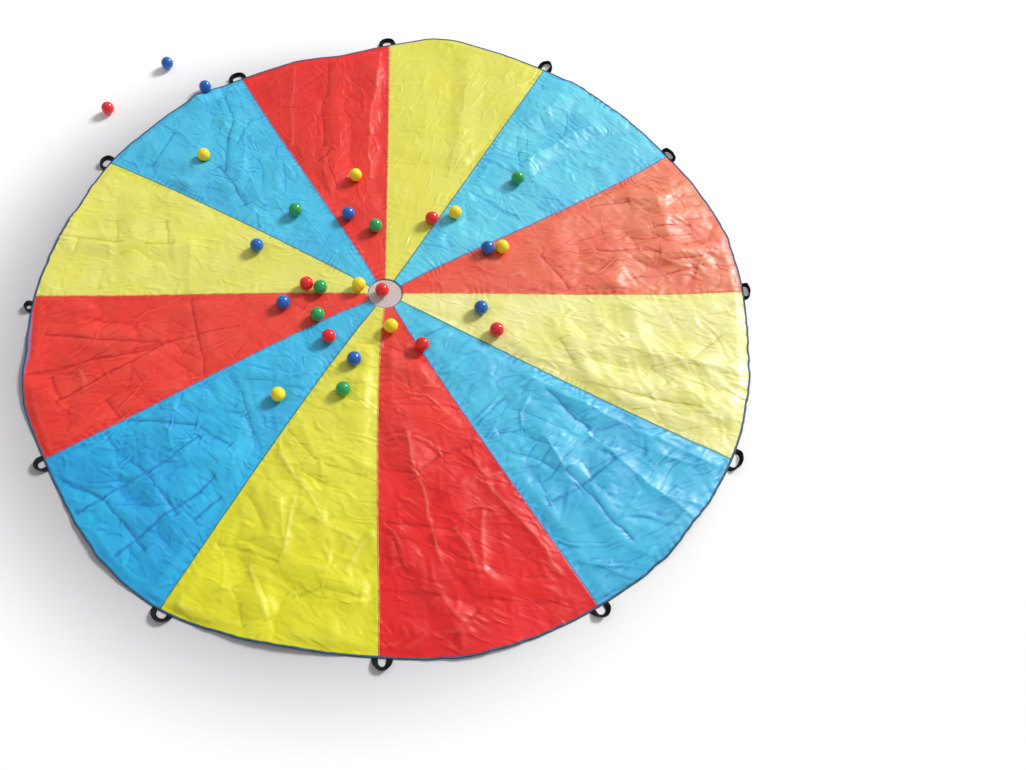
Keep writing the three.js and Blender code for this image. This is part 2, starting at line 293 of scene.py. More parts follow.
def make_grid(name: str, grids: list[Grid], masks: dict[str, Array] | None = None) -> Piece:
    """Makes one object from several grids.

    Args:
        name: The object's name.
        grids: Its surfaces.
        masks: Named numbers for each point of all the grids in turn.

    Returns:
        The new object.
    """
    points, cloths, faces, before = [], [], [], 0
    for grid in grids:
        faces.append(grid.faces() + before)
        points.append(grid.points.reshape(-1, 3))
        cloths.append(grid.cloth.reshape(-1, 2))
        before += len(points[-1])
    joined = (np.concatenate(points), np.concatenate(faces), np.concatenate(cloths))
    return make_mesh(name, *joined, masks)


def thicken(piece: Piece, thickness: float) -> None:
    """Gives a sheet its thickness, downwards from its top.

    Args:
        piece: The sheet.
        thickness: How thick it becomes.
    """
    wall = piece.modifiers.new("wall", "SOLIDIFY")
    wall.thickness = thickness
    wall.offset = -1


def mend(piece: Piece, weld: float = 0.0) -> None:
    """Closes a mesh and turns all its faces outwards.

    Args:
        piece: The piece.
        weld: How near points are joined, as at a sphere's poles. At zero, each open end gets a face instead.
    """
    shape = bmesh.new()
    shape.from_mesh(piece.data)
    if weld:
        bmesh.ops.remove_doubles(shape, verts=shape.verts, dist=weld)
    else:
        edges = [edge for edge in shape.edges if edge.is_boundary]
        bmesh.ops.holes_fill(shape, edges=edges, sides=0)
    bmesh.ops.recalc_face_normals(shape, faces=shape.faces)
    shape.to_mesh(piece.data)
    shape.free()


def tape_section(width: float, thickness: float, corner: float, count: int) -> Array:
    """A flat tape's rounded section: a superellipse, so that its faces are flat and its edges round.

    Args:
        width: Its width.
        thickness: Its thickness.
        corner: The superellipse's power, 2 for a plain ellipse and more for squarer edges.
        count: How many points it has.

    Returns:
        Points by two, across and up.
    """
    around = np.linspace(0, FULL_TURN, count, endpoint=False)
    power = 2 / corner
    across = np.sign(np.cos(around)) * np.abs(np.cos(around)) ** power * width / 2
    up = np.sign(np.sin(around)) * np.abs(np.sin(around)) ** power * thickness / 2
    return np.stack([across, up], axis=1)


@dataclass
class Wiring:
    """Adds nodes to one tree and joins them up. A value is a plain one or an output socket."""

    tree: Tree

    def add(self, kind: str, inputs: dict | None = None, **settings: object) -> Node:
        """Adds a node.

        Args:
            kind: The node's type.
            inputs: Values by input name or number.
            settings: The node's own settings.

        Returns:
            The node.
        """
        node = self.tree.nodes.new(kind)
        for setting, value in settings.items():
            setattr(node, setting, value)
        for name, value in (inputs or {}).items():
            self.feed(node.inputs[name], value)
        return node

    def place(self, group: Tree, inputs: dict) -> Node:
        """Puts a node group into the tree with its own values."""
        return self.add("ShaderNodeGroup", inputs, node_tree=group)

    def feed(self, socket: Socket, value: Value) -> None:
        """Joins an input to an output socket, or sets a plain value on it.

        Args:
            socket: The input.
            value: The output socket or the plain value.
        """
        if isinstance(value, Socket):
            self.tree.links.new(value, socket)
        else:
            socket.default_value = value

    def sum(self, operation: str, *values: Value) -> Socket:
        """The result of a Math node on its values in order."""
        return self.add("ShaderNodeMath", dict(enumerate(values)), operation=operation).outputs[0]

    def mix(self, share: Value, low: Value, high: Value) -> Socket:
        """A colour between two, by a share."""
        return self.add("ShaderNodeMix", {0: share, 6: low, 7: high}, data_type="RGBA").outputs[2]

    def ramp(self, value: Value, start: float, end: float, low: Value = 0.0, high: Value = 1.0) -> Socket:
        """A value carried smoothly from one range to another, and held at both ends."""
        numbers = dict(enumerate((value, start, end, low, high)))
        return self.add("ShaderNodeMapRange", numbers, interpolation_type="SMOOTHSTEP").outputs[0]

    def noise(self, vector: Value, scale: float, detail: float = 2.0) -> Socket:
        """Blender's noise from 0 to 1."""
        node = self.add("ShaderNodeTexNoise", {"Vector": vector, "Scale": scale, "Detail": detail})
        return node.outputs["Fac"]

    def bump(self, height: Value, metres: float, strength: float, over: dict | None = None) -> Socket:
        """The normal of a height some metres deep, over another normal where one is given by its name."""
        inputs = {"Height": height, "Distance": metres, "Strength": strength}
        return self.add("ShaderNodeBump", inputs | (over or {})).outputs[0]


class Clouding(NamedTuple):
    """A noise's scale and detail, the noise at which clouding starts and ends, and its range."""

    scale: float
    detail: float
    start: float
    end: float
    low: float = 0.0
    high: float = 1.0

    def over(self, w: Wiring, vector: Socket) -> Socket:
        """The clouding over a surface's coordinates."""
        return w.ramp(w.noise(vector, self.scale, self.detail), self.start, self.end, self.low, self.high)


def new_group(name: str, inputs: dict[str, float | None], outputs: list[str]) -> tuple[Wiring, dict, dict]:
    """Starts a shader node group.

    Args:
        name: The group's name.
        inputs: Each input's name and its default: a number, or None for a vector.
        outputs: The names of its numbers out.

    Returns:
        Its wiring, its inputs' sockets by name, and its output node's sockets by name.
    """
    tree = bpy.data.node_groups.new(name, "ShaderNodeTree")
    for label, default in inputs.items():
        kind = "NodeSocketVector" if default is None else "NodeSocketFloat"
        socket = tree.interface.new_socket(name=label, in_out="INPUT", socket_type=kind)
        if default is not None:
            socket.default_value = default
    for label in outputs:
        tree.interface.new_socket(name=label, in_out="OUTPUT", socket_type="NodeSocketFloat")
    wiring = Wiring(tree)
    entry = wiring.add("NodeGroupInput")
    leave = wiring.add("NodeGroupOutput")
    return wiring, {s.name: s for s in entry.outputs}, {s.name: s for s in leave.inputs}


class Effects:
    """The effects that several finishes share, each a node group made once."""

    def __init__(self) -> None:
        """Makes every group."""
        self.weave = self._weave()
        self.crinkle = self._crinkle()
        self.stitches = self._stitches()
        self.scuffs = self._scuffs()

    @staticmethod
    def _weave() -> Tree:
        """Plain weave: crossing yarns, each a half sine, that take turns on top like a chequerboard.

        Its Shade output is painted shade for the weave.

        Returns:
            The group.
        """
        w, enter, leave = new_group("Weave", {"Vector": None, "Pitch": 0.0008}, ["Height", "Shade"])
        parts = w.add("ShaderNodeSeparateXYZ", {"Vector": enter["Vector"]})
        rate = w.sum("DIVIDE", math.pi, enter["Pitch"])
        across = w.sum("SINE", w.sum("MULTIPLY", parts.outputs[0], rate))
        along = w.sum("SINE", w.sum("MULTIPLY", parts.outputs[1], rate))
        turns = w.sum("MULTIPLY", across, along)
        w.feed(leave["Height"], w.sum("MULTIPLY_ADD", turns, 0.5, 0.5))
        w.feed(leave["Shade"], w.sum("MULTIPLY_ADD", w.sum("ABSOLUTE", turns), 0.5, 0.5))
        return w.tree

    @staticmethod
    def _crinkle() -> Tree:
        """Fine drawn wrinkles: ridged noise, turned to the way the cloth is drawn and stretched along it.

        Returns:
            The group.
        """
        sockets = {"Vector": None, "Size": 0.05, "Stretch": 2.0, "Turn": 0.0}
        w, enter, leave = new_group("Crinkle", sockets, ["Height"])
        turning = {"Vector": enter["Vector"], "Angle": enter["Turn"]}
        turned = w.add("ShaderNodeVectorRotate", turning, rotation_type="Z_AXIS")
        longer = w.sum("MULTIPLY", enter["Size"], enter["Stretch"])
        pitch = w.add("ShaderNodeCombineXYZ", {"X": enter["Size"], "Y": longer, "Z": enter["Size"]})
        shares = {0: turned.outputs[0], 1: pitch.outputs[0]}
        scaled = w.add("ShaderNodeVectorMath", shares, operation="DIVIDE")
        ridges = w.add(
            "ShaderNodeTexNoise",
            {"Vector": scaled.outputs[0], "Scale": 1.0, "Detail": 2.5, "Distortion": 0.9},
            noise_type="RIDGED_MULTIFRACTAL",
            normalize=True,
        )
        w.feed(leave["Height"], ridges.outputs["Fac"])
        return w.tree

    @staticmethod
    def _stitches() -> Tree:
        """A row of stitches: dashes along the cloth's second coordinate, a width either side of a line.

        Returns:
            The group.
        """
        sockets = {"Vector": None, "Pitch": 0.004, "Row": 0.0, "Width": 0.0006}
        w, enter, leave = new_group("Stitches", sockets, ["Mask"])
        dash_end, gap_start = 0.3, 0.42
        parts = w.add("ShaderNodeSeparateXYZ", {"Vector": enter["Vector"]})
        away = w.sum("ABSOLUTE", w.sum("SUBTRACT", parts.outputs[0], enter["Row"]))
        near = w.sum("SUBTRACT", 1.0, w.sum("DIVIDE", away, enter["Width"]))
        along = w.sum("FRACT", w.sum("DIVIDE", parts.outputs[1], enter["Pitch"]))
        middle = w.sum("ABSOLUTE", w.sum("SUBTRACT", along, 0.5))
        dash = w.ramp(middle, dash_end, gap_start, 1.0, 0.0)
        w.feed(leave["Mask"], w.sum("MULTIPLY", w.ramp(near, 0.0, 0.5), dash))
        return w.tree

    @staticmethod
    def _scuffs() -> Tree:
        """Handling marks: a roughness that wanders a little about its usual value.

        Returns:
            The group.
        """
        sockets = {"Vector": None, "Scale": 12.0, "Usual": 0.4, "Spread": 0.1}
        w, enter, leave = new_group("Scuffs", sockets, ["Roughness", "Marks"])
        cloud = w.noise(enter["Vector"], enter["Scale"], 4.0)
        marks = w.sum("SUBTRACT", cloud, 0.5)
        w.feed(leave["Roughness"], w.sum("MULTIPLY_ADD", marks, enter["Spread"], enter["Usual"]))
        w.feed(leave["Marks"], marks)
        return w.tree


def start_material(name: str) -> tuple[Material, Wiring, Node]:
    """Starts a material.

    Args:
        name: Its name.

    Returns:
        The material, its wiring, and its Principled shader, joined to the output.
    """
    material = bpy.data.materials.new(name)
    material.use_nodes = True
    tree = material.node_tree
    tree.nodes.clear()
    wiring = Wiring(tree)
    shader = wiring.add("ShaderNodeBsdfPrincipled")
    leave = wiring.add("ShaderNodeOutputMaterial")
    tree.links.new(shader.outputs[0], leave.inputs["Surface"])
    return material, wiring, shader


@dataclass(frozen=True)
class ClothFinish:
    """Thin woven nylon with a satin shine, pressed creases and fine drawn wrinkles.

    It reads masks from the mesh, from 0 to 1: painted shade along sunk creases and in hollows, painted
    highlight on crests, and the turned hem; the way that the cloth is drawn, in radians; and a painted sheen
    that pales the cloth, and deepens it below zero.
    """

    name: str
    colour: Colour  # the lit cloth
    deep: Colour  # the darker tone, for random clouding and for painted shade in hollows, wrinkles and the weave
    pale: Colour  # the paler colour of the painted sheen and of the painted highlight on crests
    wrong_side: Colour = linear(160, 112, 158)  # the cloth's other side, where the hem is turned over
    roughness: float = 0.4  # how matt it is
    crease_shade_level: float = 0.55  # how much of the deep colour is left in the painted shade along a sunk crease
    clouding: Clouding = Clouding(3.0, 5.0, 0.35, 0.7, 0.0, 0.45)  # where the deep colour clouds the lit one
    painted_sheen_patches: Clouding = Clouding(5.0, 5.0, 0.2, 0.75, 0.5, 1.0)  # how patchy the painted sheen is
    hollow_shade_share: float = 0.75  # how strongly the painted shade in hollows darkens the cloth
    crest_highlight_share: float = 0.3  # how strongly the painted highlight on crests lightens it
    crease_shade_share: float = 0.6  # how strongly the painted shade along sunk creases darkens it
    cross_turn: float = 1.1  # how far the second wrinkles are turned from the first, in radians
    cross_share: float = 0.9  # how tall they are beside the first
    # the height at which the painted shade in wrinkles' hollows starts and ends, and how strongly it darkens
    wrinkle_shade: tuple[float, float, float] = (0.9, 0.2, 0.3)
    thread_shade: float = 0.08  # how strongly the painted shade of the weave darkens it

    @property
    def crease_shade_colour(self) -> Colour:
        """The painted shade along a sunk crease: darker than the deep colour."""
        return tuple(self.crease_shade_level * part for part in self.deep[:3]) + (1.0,)

    def material(self, effects: Effects) -> Material:
        """Makes the material.

        Args:
            effects: Shared shader effects.

        Returns:
            The material.
        """
        made, w, shader = start_material(self.name)
        where = w.add("ShaderNodeTexCoord").outputs["Object"]
        cloth = w.add("ShaderNodeUVMap", uv_map="cloth").outputs[0]
        masks = {
            mask: w.add("ShaderNodeAttribute", attribute_name=mask).outputs["Fac"]
            for mask in ("crease_shade", "hollow_shade", "crest_highlight", "turned", "drawn", "painted_sheen")
        }
        sizes = {"Vector": where, "Size": 0.042, "Stretch": 2.4, "Turn": masks["drawn"]}
        first = w.place(effects.crinkle, sizes)
        turned = w.sum("ADD", masks["drawn"], self.cross_turn)
        sizes = {"Vector": where, "Size": 0.075, "Stretch": 2.0, "Turn": turned}
        second = w.place(effects.crinkle, sizes).outputs["Height"]
        wrinkles = w.sum("MULTIPLY_ADD", second, self.cross_share, first.outputs["Height"])
        weave = w.place(effects.weave, {"Vector": cloth, "Pitch": 0.0007})
        wear = {"Vector": where, "Scale": 6.0, "Usual": self.roughness, "Spread": 0.3}
        scuffs = w.place(effects.scuffs, wear)
        tint = w.mix(self.clouding.over(w, where), self.colour, self.deep)
        # painted sheen: paler where the mask is above zero, deeper where it is below
        painted_sheen = w.sum("MULTIPLY", masks["painted_sheen"], self.painted_sheen_patches.over(w, where))
        tint = w.mix(painted_sheen, tint, self.pale)
        tint = w.mix(w.sum("MULTIPLY", painted_sheen, -1.0), tint, self.deep)
        # painted shade in hollows
        tint = w.mix(w.sum("MULTIPLY", masks["hollow_shade"], self.hollow_shade_share), tint, self.deep)
        # painted highlight on crests and raised creases
        tint = w.mix(w.sum("MULTIPLY", masks["crest_highlight"], self.crest_highlight_share), tint, self.pale)
        # painted shade along sunk creases
        tint = w.mix(w.sum("MULTIPLY", masks["crease_shade"], self.crease_shade_share), tint, self.crease_shade_colour)
        # painted shade in the wrinkles' hollows
        start, end, share = self.wrinkle_shade
        tint = w.mix(w.ramp(wrinkles, start, end, 0.0, share), tint, self.deep)
        # painted shade of the weave
        tint = w.mix(w.sum("MULTIPLY", weave.outputs["Shade"], self.thread_shade), tint, self.deep)
        tint = w.mix(masks["turned"], tint, self.wrong_side)
        w.feed(shader.inputs["Base Color"], tint)
        w.feed(shader.inputs["Roughness"], scuffs.outputs["Roughness"])
        shader.inputs["Specular IOR Level"].default_value = 0.5
        drawn_up = w.bump(wrinkles, metres=0.006, strength=0.7)
        threads = w.bump(weave.outputs["Height"], metres=0.0001, strength=0.4, over={"Normal": drawn_up})
        w.feed(shader.inputs["Normal"], threads)
        return made


@dataclass(frozen=True)
class TapeFinish:
    """Narrow woven tape with a row of stitches along it."""

    name: str
    colour: Colour  # the lit tape
    deep: Colour  # the tape where it is soiled, and the painted shade between its threads
    thread: Colour  # the stitches
    stitch_pitch: float = 0.0045  # their pitch
    stitch_row: float = 0.0  # how far across the tape they run
    roughness: float = 0.6  # how matt the tape is
    clouding: Clouding = Clouding(26.0, 3.0, 0.35, 0.65)  # where the deep colour clouds the lit one
    thread_shade: float = 0.25  # how strongly the painted shade of the weave darkens the tape
    thread_height: float = 0.3  # the weave's height beside the stitches'

    def material(self, effects: Effects) -> Material:
        """Makes the material.

        Args:
            effects: Shared shader effects.

        Returns:
            The material.
        """
        made, w, shader = start_material(self.name)
        cloth = w.add("ShaderNodeUVMap", uv_map="cloth").outputs[0]
        weave = w.place(effects.weave, {"Vector": cloth, "Pitch": 0.0009})
        sizes = {"Vector": cloth, "Pitch": self.stitch_pitch, "Row": self.stitch_row, "Width": 0.0009}
        row = w.place(effects.stitches, sizes)
        tint = w.mix(self.clouding.over(w, cloth), self.colour, self.deep)
        # painted shade between the threads
        tint = w.mix(w.sum("MULTIPLY", weave.outputs["Shade"], self.thread_shade), tint, self.deep)
        tint = w.mix(row.outputs["Mask"], tint, self.thread)
        w.feed(shader.inputs["Base Color"], tint)
        shader.inputs["Roughness"].default_value = self.roughness
        threads = w.sum("MULTIPLY", weave.outputs["Height"], self.thread_height)
        height = w.sum("ADD", threads, row.outputs["Mask"])
        w.feed(shader.inputs["Normal"], w.bump(height, metres=0.0004, strength=0.8))
        return made


@dataclass(frozen=True)
class WebbingFinish:
    """Heavy black webbing: close ribs across it, and paler fibres where it rubs."""

    name: str = "black_webbing"
    colour: Colour = linear(13, 13, 15)  # the webbing
    worn: Colour = linear(40, 40, 44)  # its rubbed fibres
    # the marks at which rubbing starts and ends, and its least and greatest share
    rubbing: tuple[float, float, float, float] = (0.0, 0.25, 0.05, 0.5)

    def material(self, effects: Effects) -> Material:
        """Makes the material.

        Args:
            effects: Shared shader effects.

        Returns:
            The material.
        """
        made, w, shader = start_material(self.name)
        cloth = w.add("ShaderNodeUVMap", uv_map="cloth").outputs[0]
        weave = w.place(effects.weave, {"Vector": cloth, "Pitch": 0.0016})
        wear = {"Vector": cloth, "Scale": 90.0, "Usual": 0.8, "Spread": 0.2}
        scuffs = w.place(effects.scuffs, wear)
        rubbed = w.ramp(scuffs.outputs["Marks"], *self.rubbing)
        shade = w.sum("MULTIPLY", weave.outputs["Height"], rubbed)
        w.feed(shader.inputs["Base Color"], w.mix(shade, self.colour, self.worn))
        w.feed(shader.inputs["Roughness"], scuffs.outputs["Roughness"])
        shader.inputs["Specular IOR Level"].default_value = 0.2
        w.feed(shader.inputs["Normal"], w.bump(weave.outputs["Height"], metres=0.0005, strength=0.9))
        return made


@dataclass(frozen=True)
class BallFinish:
    """Glossy moulded plastic with faint clouding and rubbed marks."""

    name: str
    colour: Colour  # the plastic
    deep: Colour  # the plastic where it is clouded
    clouding: Clouding = Clouding(30.0, 2.0, 0.35, 0.7, 0.0, 0.45)  # where that is

    def material(self, effects: Effects) -> Material:
        """Makes the material.

        Args:
            effects: Shared shader effects.

        Returns:
            The material.
        """
        made, w, shader = start_material(self.name)
        where = w.add("ShaderNodeTexCoord").outputs["Object"]
        wear = {"Vector": where, "Scale": 60.0, "Usual": 0.2, "Spread": 0.18}
        scuffs = w.place(effects.scuffs, wear)
        cloud = self.clouding.over(w, where)
        w.feed(shader.inputs["Base Color"], w.mix(cloud, self.colour, self.deep))
        w.feed(shader.inputs["Roughness"], scuffs.outputs["Roughness"])
        shader.inputs["Coat Weight"].default_value = 0.25
        shader.inputs["Coat Roughness"].default_value = 0.08
        w.feed(shader.inputs["Normal"], w.bump(scuffs.outputs["Marks"], metres=0.0003, strength=0.25))
        return made


@dataclass(frozen=True)
class NetFinish:
    """Fine pale mesh of knitted yarn."""

    name: str = "pale_mesh"
    colour: Colour = linear(252, 238, 236)  # the yarn
    deep: Colour = linear(216, 202, 204)  # the painted shade between its fibres
    fibre_shade: float = 0.5  # how strongly the painted shade in the fibres' hollows darkens it

    def material(self, effects: Effects) -> Material:
        """Makes the material.

        Args:
            effects: Shared shader effects.

        Returns:
            The material.
        """
        made, w, shader = start_material(self.name)
        where = w.add("ShaderNodeTexCoord").outputs["Object"]
        yarn = w.place(effects.weave, {"Vector": where, "Pitch": 0.0005})
        # painted shade between the fibres
        tint = w.mix(w.sum("MULTIPLY", yarn.outputs["Shade"], self.fibre_shade), self.colour, self.deep)
        w.feed(shader.inputs["Base Color"], tint)
        shader.inputs["Roughness"].default_value = 0.6
        w.feed(shader.inputs["Normal"], w.bump(yarn.outputs["Height"], metres=0.0002, strength=0.8))
        return made


# How far each seam leans clockwise of its clock hour, in degrees, from 12 o'clock on.
SEAM_LEANS = (0.8, 0.5, -0.5, -0.4, 0.0, 0.5, 0.8, 0.6, -0.4, -0.5, -0.1, 1.1)

# How far each seam bows clockwise, in metres, at a third and at two thirds of its length.
SEAM_BOWS = (
    (0.001, 0.002), (0.002, 0.001), (0.002, 0.017), (0.003, 0.012),
    (0.006, 0.010), (0.011, 0.007), (0.020, 0.013), (0.015, 0.012),
    (0.016, 0.005), (0.006, 0.000), (0.014, 0.016), (0.003, -0.004),
)


def clock_point(turn: Array, radius: Array, height: Array) -> Array:
    """Points at a turn clockwise from 12 o'clock, a radius out and a height up."""
    return np.stack([radius * np.sin(turn), radius * np.cos(turn), height], axis=-1)


@dataclass
class Plan:
    """Where the rim and the seams run."""

    turns: Array  # the turn of each corner of the rim, in order
    radii: Array  # the radius of each corner
    loop_clear: float = 0.15  # how far from a loop the rim's small waves start, in hours
    loop_ease: float = 0.08  # how quickly they reach their height, in hours
    wave_radius: float = 1.5  # the radius at which the waves' noise is read
    waves: tuple[Layer, ...] = (Layer(0.0038, 0.1, 91), Layer(0.0022, 0.04, 92))  # the small waves
    frill: Layer = Layer(0.0014, 0.018, 93)  # finer waves, in patches
    patches: Layer = Layer(1.0, 0.3, 94)  # the noise of those patches
    patch_bias: float = 0.6  # how much of the rim they cover

    @classmethod
    def from_frame(cls, frame: dict) -> "Plan":
        """Reads the rim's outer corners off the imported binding.

        Args:
            frame: The loaded frame.

        Returns:
            The plan, with one corner for each 98 mm or so of rim.
        """
        binding = frame["nodes"]["rim_binding"]
        places = np.zeros(len(binding.data.vertices) * 3, dtype=np.float32)
        binding.data.vertices.foreach_get("co", places)
        places = places.reshape(-1, 3)
        turns = np.arctan2(places[:, 0], places[:, 1]) % FULL_TURN
        radii = np.hypot(places[:, 0], places[:, 1])
        order = np.argsort(turns)
        turns, radii = turns[order], radii[order]
        apart = 0.01  # corners of one section turn less than this
        starts = np.flatnonzero(np.diff(turns, prepend=turns[0] - 1) > apart)
        return cls(turns[starts], np.maximum.reduceat(radii, starts))

    def rim(self, turn: Array) -> Array:
        """The rim's radius: cubic curves through the corners, and small waves between loops.

        Args:
            turn: Turns round the rim.

        Returns:
            The radius at each turn.
        """
        hour = (turn / FULL_TURN * GORES) % 1
        clear = smooth((np.minimum(hour, 1 - hour) - self.loop_clear) / self.loop_ease)
        across, up = self.wave_radius * np.sin(turn), self.wave_radius * np.cos(turn)
        patchy = smooth(layered((self.patches,), across, up) + self.patch_bias)
        waves = layered(self.waves, across, up) + patchy * layered((self.frill,), across, up)
        return self.smooth_rim(turn) + clear * waves

    def smooth_rim(self, turn: Array) -> Array:
        """The rim without its waves: cubic curves through the corners, each drawn by four of them.

        Args:
            turn: Turns round the rim.

        Returns:
            The radius at each turn.
        """
        count = len(self.turns)
        spread = np.concatenate([self.turns - FULL_TURN, self.turns, self.turns + FULL_TURN])
        place = np.interp(turn % FULL_TURN, spread, np.arange(3 * count))
        corner = np.floor(place).astype(int)
        share = place - corner
        before, here, after, beyond = (self.radii[(corner + n) % count] for n in (-1, 0, 1, 2))
        cubic = share * (3 * (here - after) + beyond - before)
        square = share * (2 * before - 5 * here + 4 * after - beyond + cubic)
        return here + 0.5 * share * (after - before + square)

    @staticmethod
    def seam(number: int, share: Array) -> Array:
        """Where a seam runs: its clock hour, its lean and its bow.

        The bow is the cubic curve that is zero at the vent and the rim and passes through both its values.

        Args:
            number: The seam's number, from 0 at 12 o'clock.
            share: Shares of the radius.

        Returns:
            The seam's turn at each share.
        """
        to_pass_through = 13.5  # brings the cubic up to its two values
        core = 0.2  # inside this radius a bow turns the seam no further
        hour = FULL_TURN * number / GORES + math.radians(SEAM_LEANS[number % GORES])
        third, two_thirds = SEAM_BOWS[number % GORES]
        lean = (2 / 3 - share) * third + (share - 1 / 3) * two_thirds
        bow = to_pass_through * share * (1 - share) * lean
        return hour + bow / np.maximum(RADIUS * share, core)


@dataclass(frozen=True)
class Lie:
    """How one gore's cloth lies."""

    count: int  # how many drawn wrinkles it has
    height: float  # the tallest wrinkle's height
    width: float  # half a usual wrinkle's width
    length: float  # half its length
    bearing: float  # the way the wrinkles run, in degrees clockwise from 12 o'clock
    spread: float  # how far they stray from it, in degrees
    crumpled: float  # how strongly its broad facets show
    painted_sheen: float  # how much paler a painted sheen makes it by the vent, below zero how much deeper it is painted
    painted_sheen_rim: float  # the same by the rim


LIES = (
    Lie(10, 0.0008, 0.010, 0.08, 25, 35, 0.25, 0.3, 0.3),
    Lie(40, 0.0018, 0.010, 0.06, 130, 50, 0.8, 0.85, 0.85),
    Lie(60, 0.0026, 0.010, 0.06, 80, 90, 1.1, 0.2, 0.86),
    Lie(30, 0.0026, 0.015, 0.09, 105, 60, 0.8, 0.85, 1.0),
    Lie(55, 0.0026, 0.011, 0.06, 60, 50, 0.9, 0.6, 0.34),
    Lie(60, 0.0028, 0.012, 0.065, 110, 50, 1.0, 0.22, -0.12),
    Lie(50, 0.0032, 0.015, 0.075, 110, 55, 1.1, 0.34, -0.08),
    Lie(60, 0.0028, 0.010, 0.05, 120, 60, 1.1, 0.44, -0.1),
    Lie(40, 0.0018, 0.010, 0.07, 70, 40, 0.9, 0.2, 0.1),
    Lie(10, 0.0009, 0.011, 0.08, 100, 60, 0.3, 0.46, 0.44),
    Lie(45, 0.0022, 0.011, 0.06, 140, 50, 0.9, 0.48, 0.44),
    Lie(35, 0.0016, 0.010, 0.07, 170, 40, 0.6, 0.14, 0.04),
)


class Ridges(NamedTuple):
    """One size of drawn ridges."""

    pitch: float  # how far apart they run
    height: float  # how tall they are
    aside: float  # how far they are turned from the way the cloth is drawn, in degrees
    stretch: float  # how many times as long they are as they are wide
    foot: float  # how wide they are, as a share of their noise
    salt: int  # which noise


RIDGES = (
    Ridges(0.105, 0.0052, 0, 3.2, 0.85, 301),
    Ridges(0.085, 0.0030, 48, 3.0, 0.7, 351),
    Ridges(0.058, 0.0016, -22, 3.2, 0.45, 311),
    Ridges(0.038, 0.0009, 12, 3.0, 0.45, 321),
)


class Line(NamedTuple):
    """A fold's or crease's straight line on a gore."""

    from_radius: float  # where it starts, as a share of the radius
    from_across: float  # the same, as a share of the way across the gore
    to_radius: float  # where it ends, as a share of the radius
    to_across: float  # the same, as a share of the way across the gore
    strength: float  # how strongly it shows, below zero where it sinks


def lines_by_gore(*gores: tuple[tuple[float, ...], ...]) -> tuple[tuple[Line, ...], ...]:
    """Makes each gore's rows of numbers its lines."""
    return tuple(tuple(Line(*row) for row in rows) for rows in gores)


# Storage folds, as in the solids, gore by gore.
FOLDS = lines_by_gore(
    ((0.96, 0.55, 0.55, 0.8, 0.8), (0.54, 0.2, 0.57, 0.74, 0.5)),
    ((0.62, 0.36, 0.91, 0.52, 0.9), (0.85, 0.19, 0.96, 0.24, 0.5)),
    ((0.79, 0.43, 0.96, 0.46, 1), (0.63, 0.54, 0.93, 0.7, 1), (0.54, 0.39, 0.5, 0.85, 0.6)),
    ((0.53, 0.56, 0.88, 0.47, 0.9), (0.6, 0.85, 0.96, 0.76, 0.8), (0.89, 0.45, 0.95, 0.25, 0.7)),
    ((0.58, 0.49, 0.88, 0.67, 1), (0.76, 0.66, 0.78, 0.38, 0.8), (0.5, 0.15, 0.77, 0.15, 0.7)),
    ((0.45, 0.72, 0.53, 0.68, 0.5), (0.7, 0.9, 0.92, 0.62, 1), (0.6, 0.38, 0.83, 0.45, 0.8)),
    ((0.84, 0.1, 0.81, 0.67, 1), (0.58, 0.83, 0.53, 0.15, 0.7), (0.65, 0.73, 0.92, 0.59, 0.8)),
    ((0.92, 0.63, 0.93, 0.2, 1), (0.81, 0.57, 0.85, 0.18, 1), (0.96, 0.35, 0.55, 0.3, 0.8)),
    ((0.94, 0.74, 0.57, 0.5, 0.9), (0.94, 0.3, 0.61, 0.45, 1), (0.53, 0.78, 0.54, 0.2, 0.6)),
    ((0.93, 0.39, 0.59, 0.53, 0.9), (0.81, 0.78, 0.72, 0.2, 0.7)),
    ((0.88, 0.82, 0.6, 0.34, 1), (0.88, 0.2, 0.74, 0.3, 0.6)),
    ((0.87, 0.61, 0.45, 0.3, 0.9), (0.89, 0.88, 0.5, 0.75, 0.8), (0.75, 0.42, 0.72, 0.85, 0.5)),
)

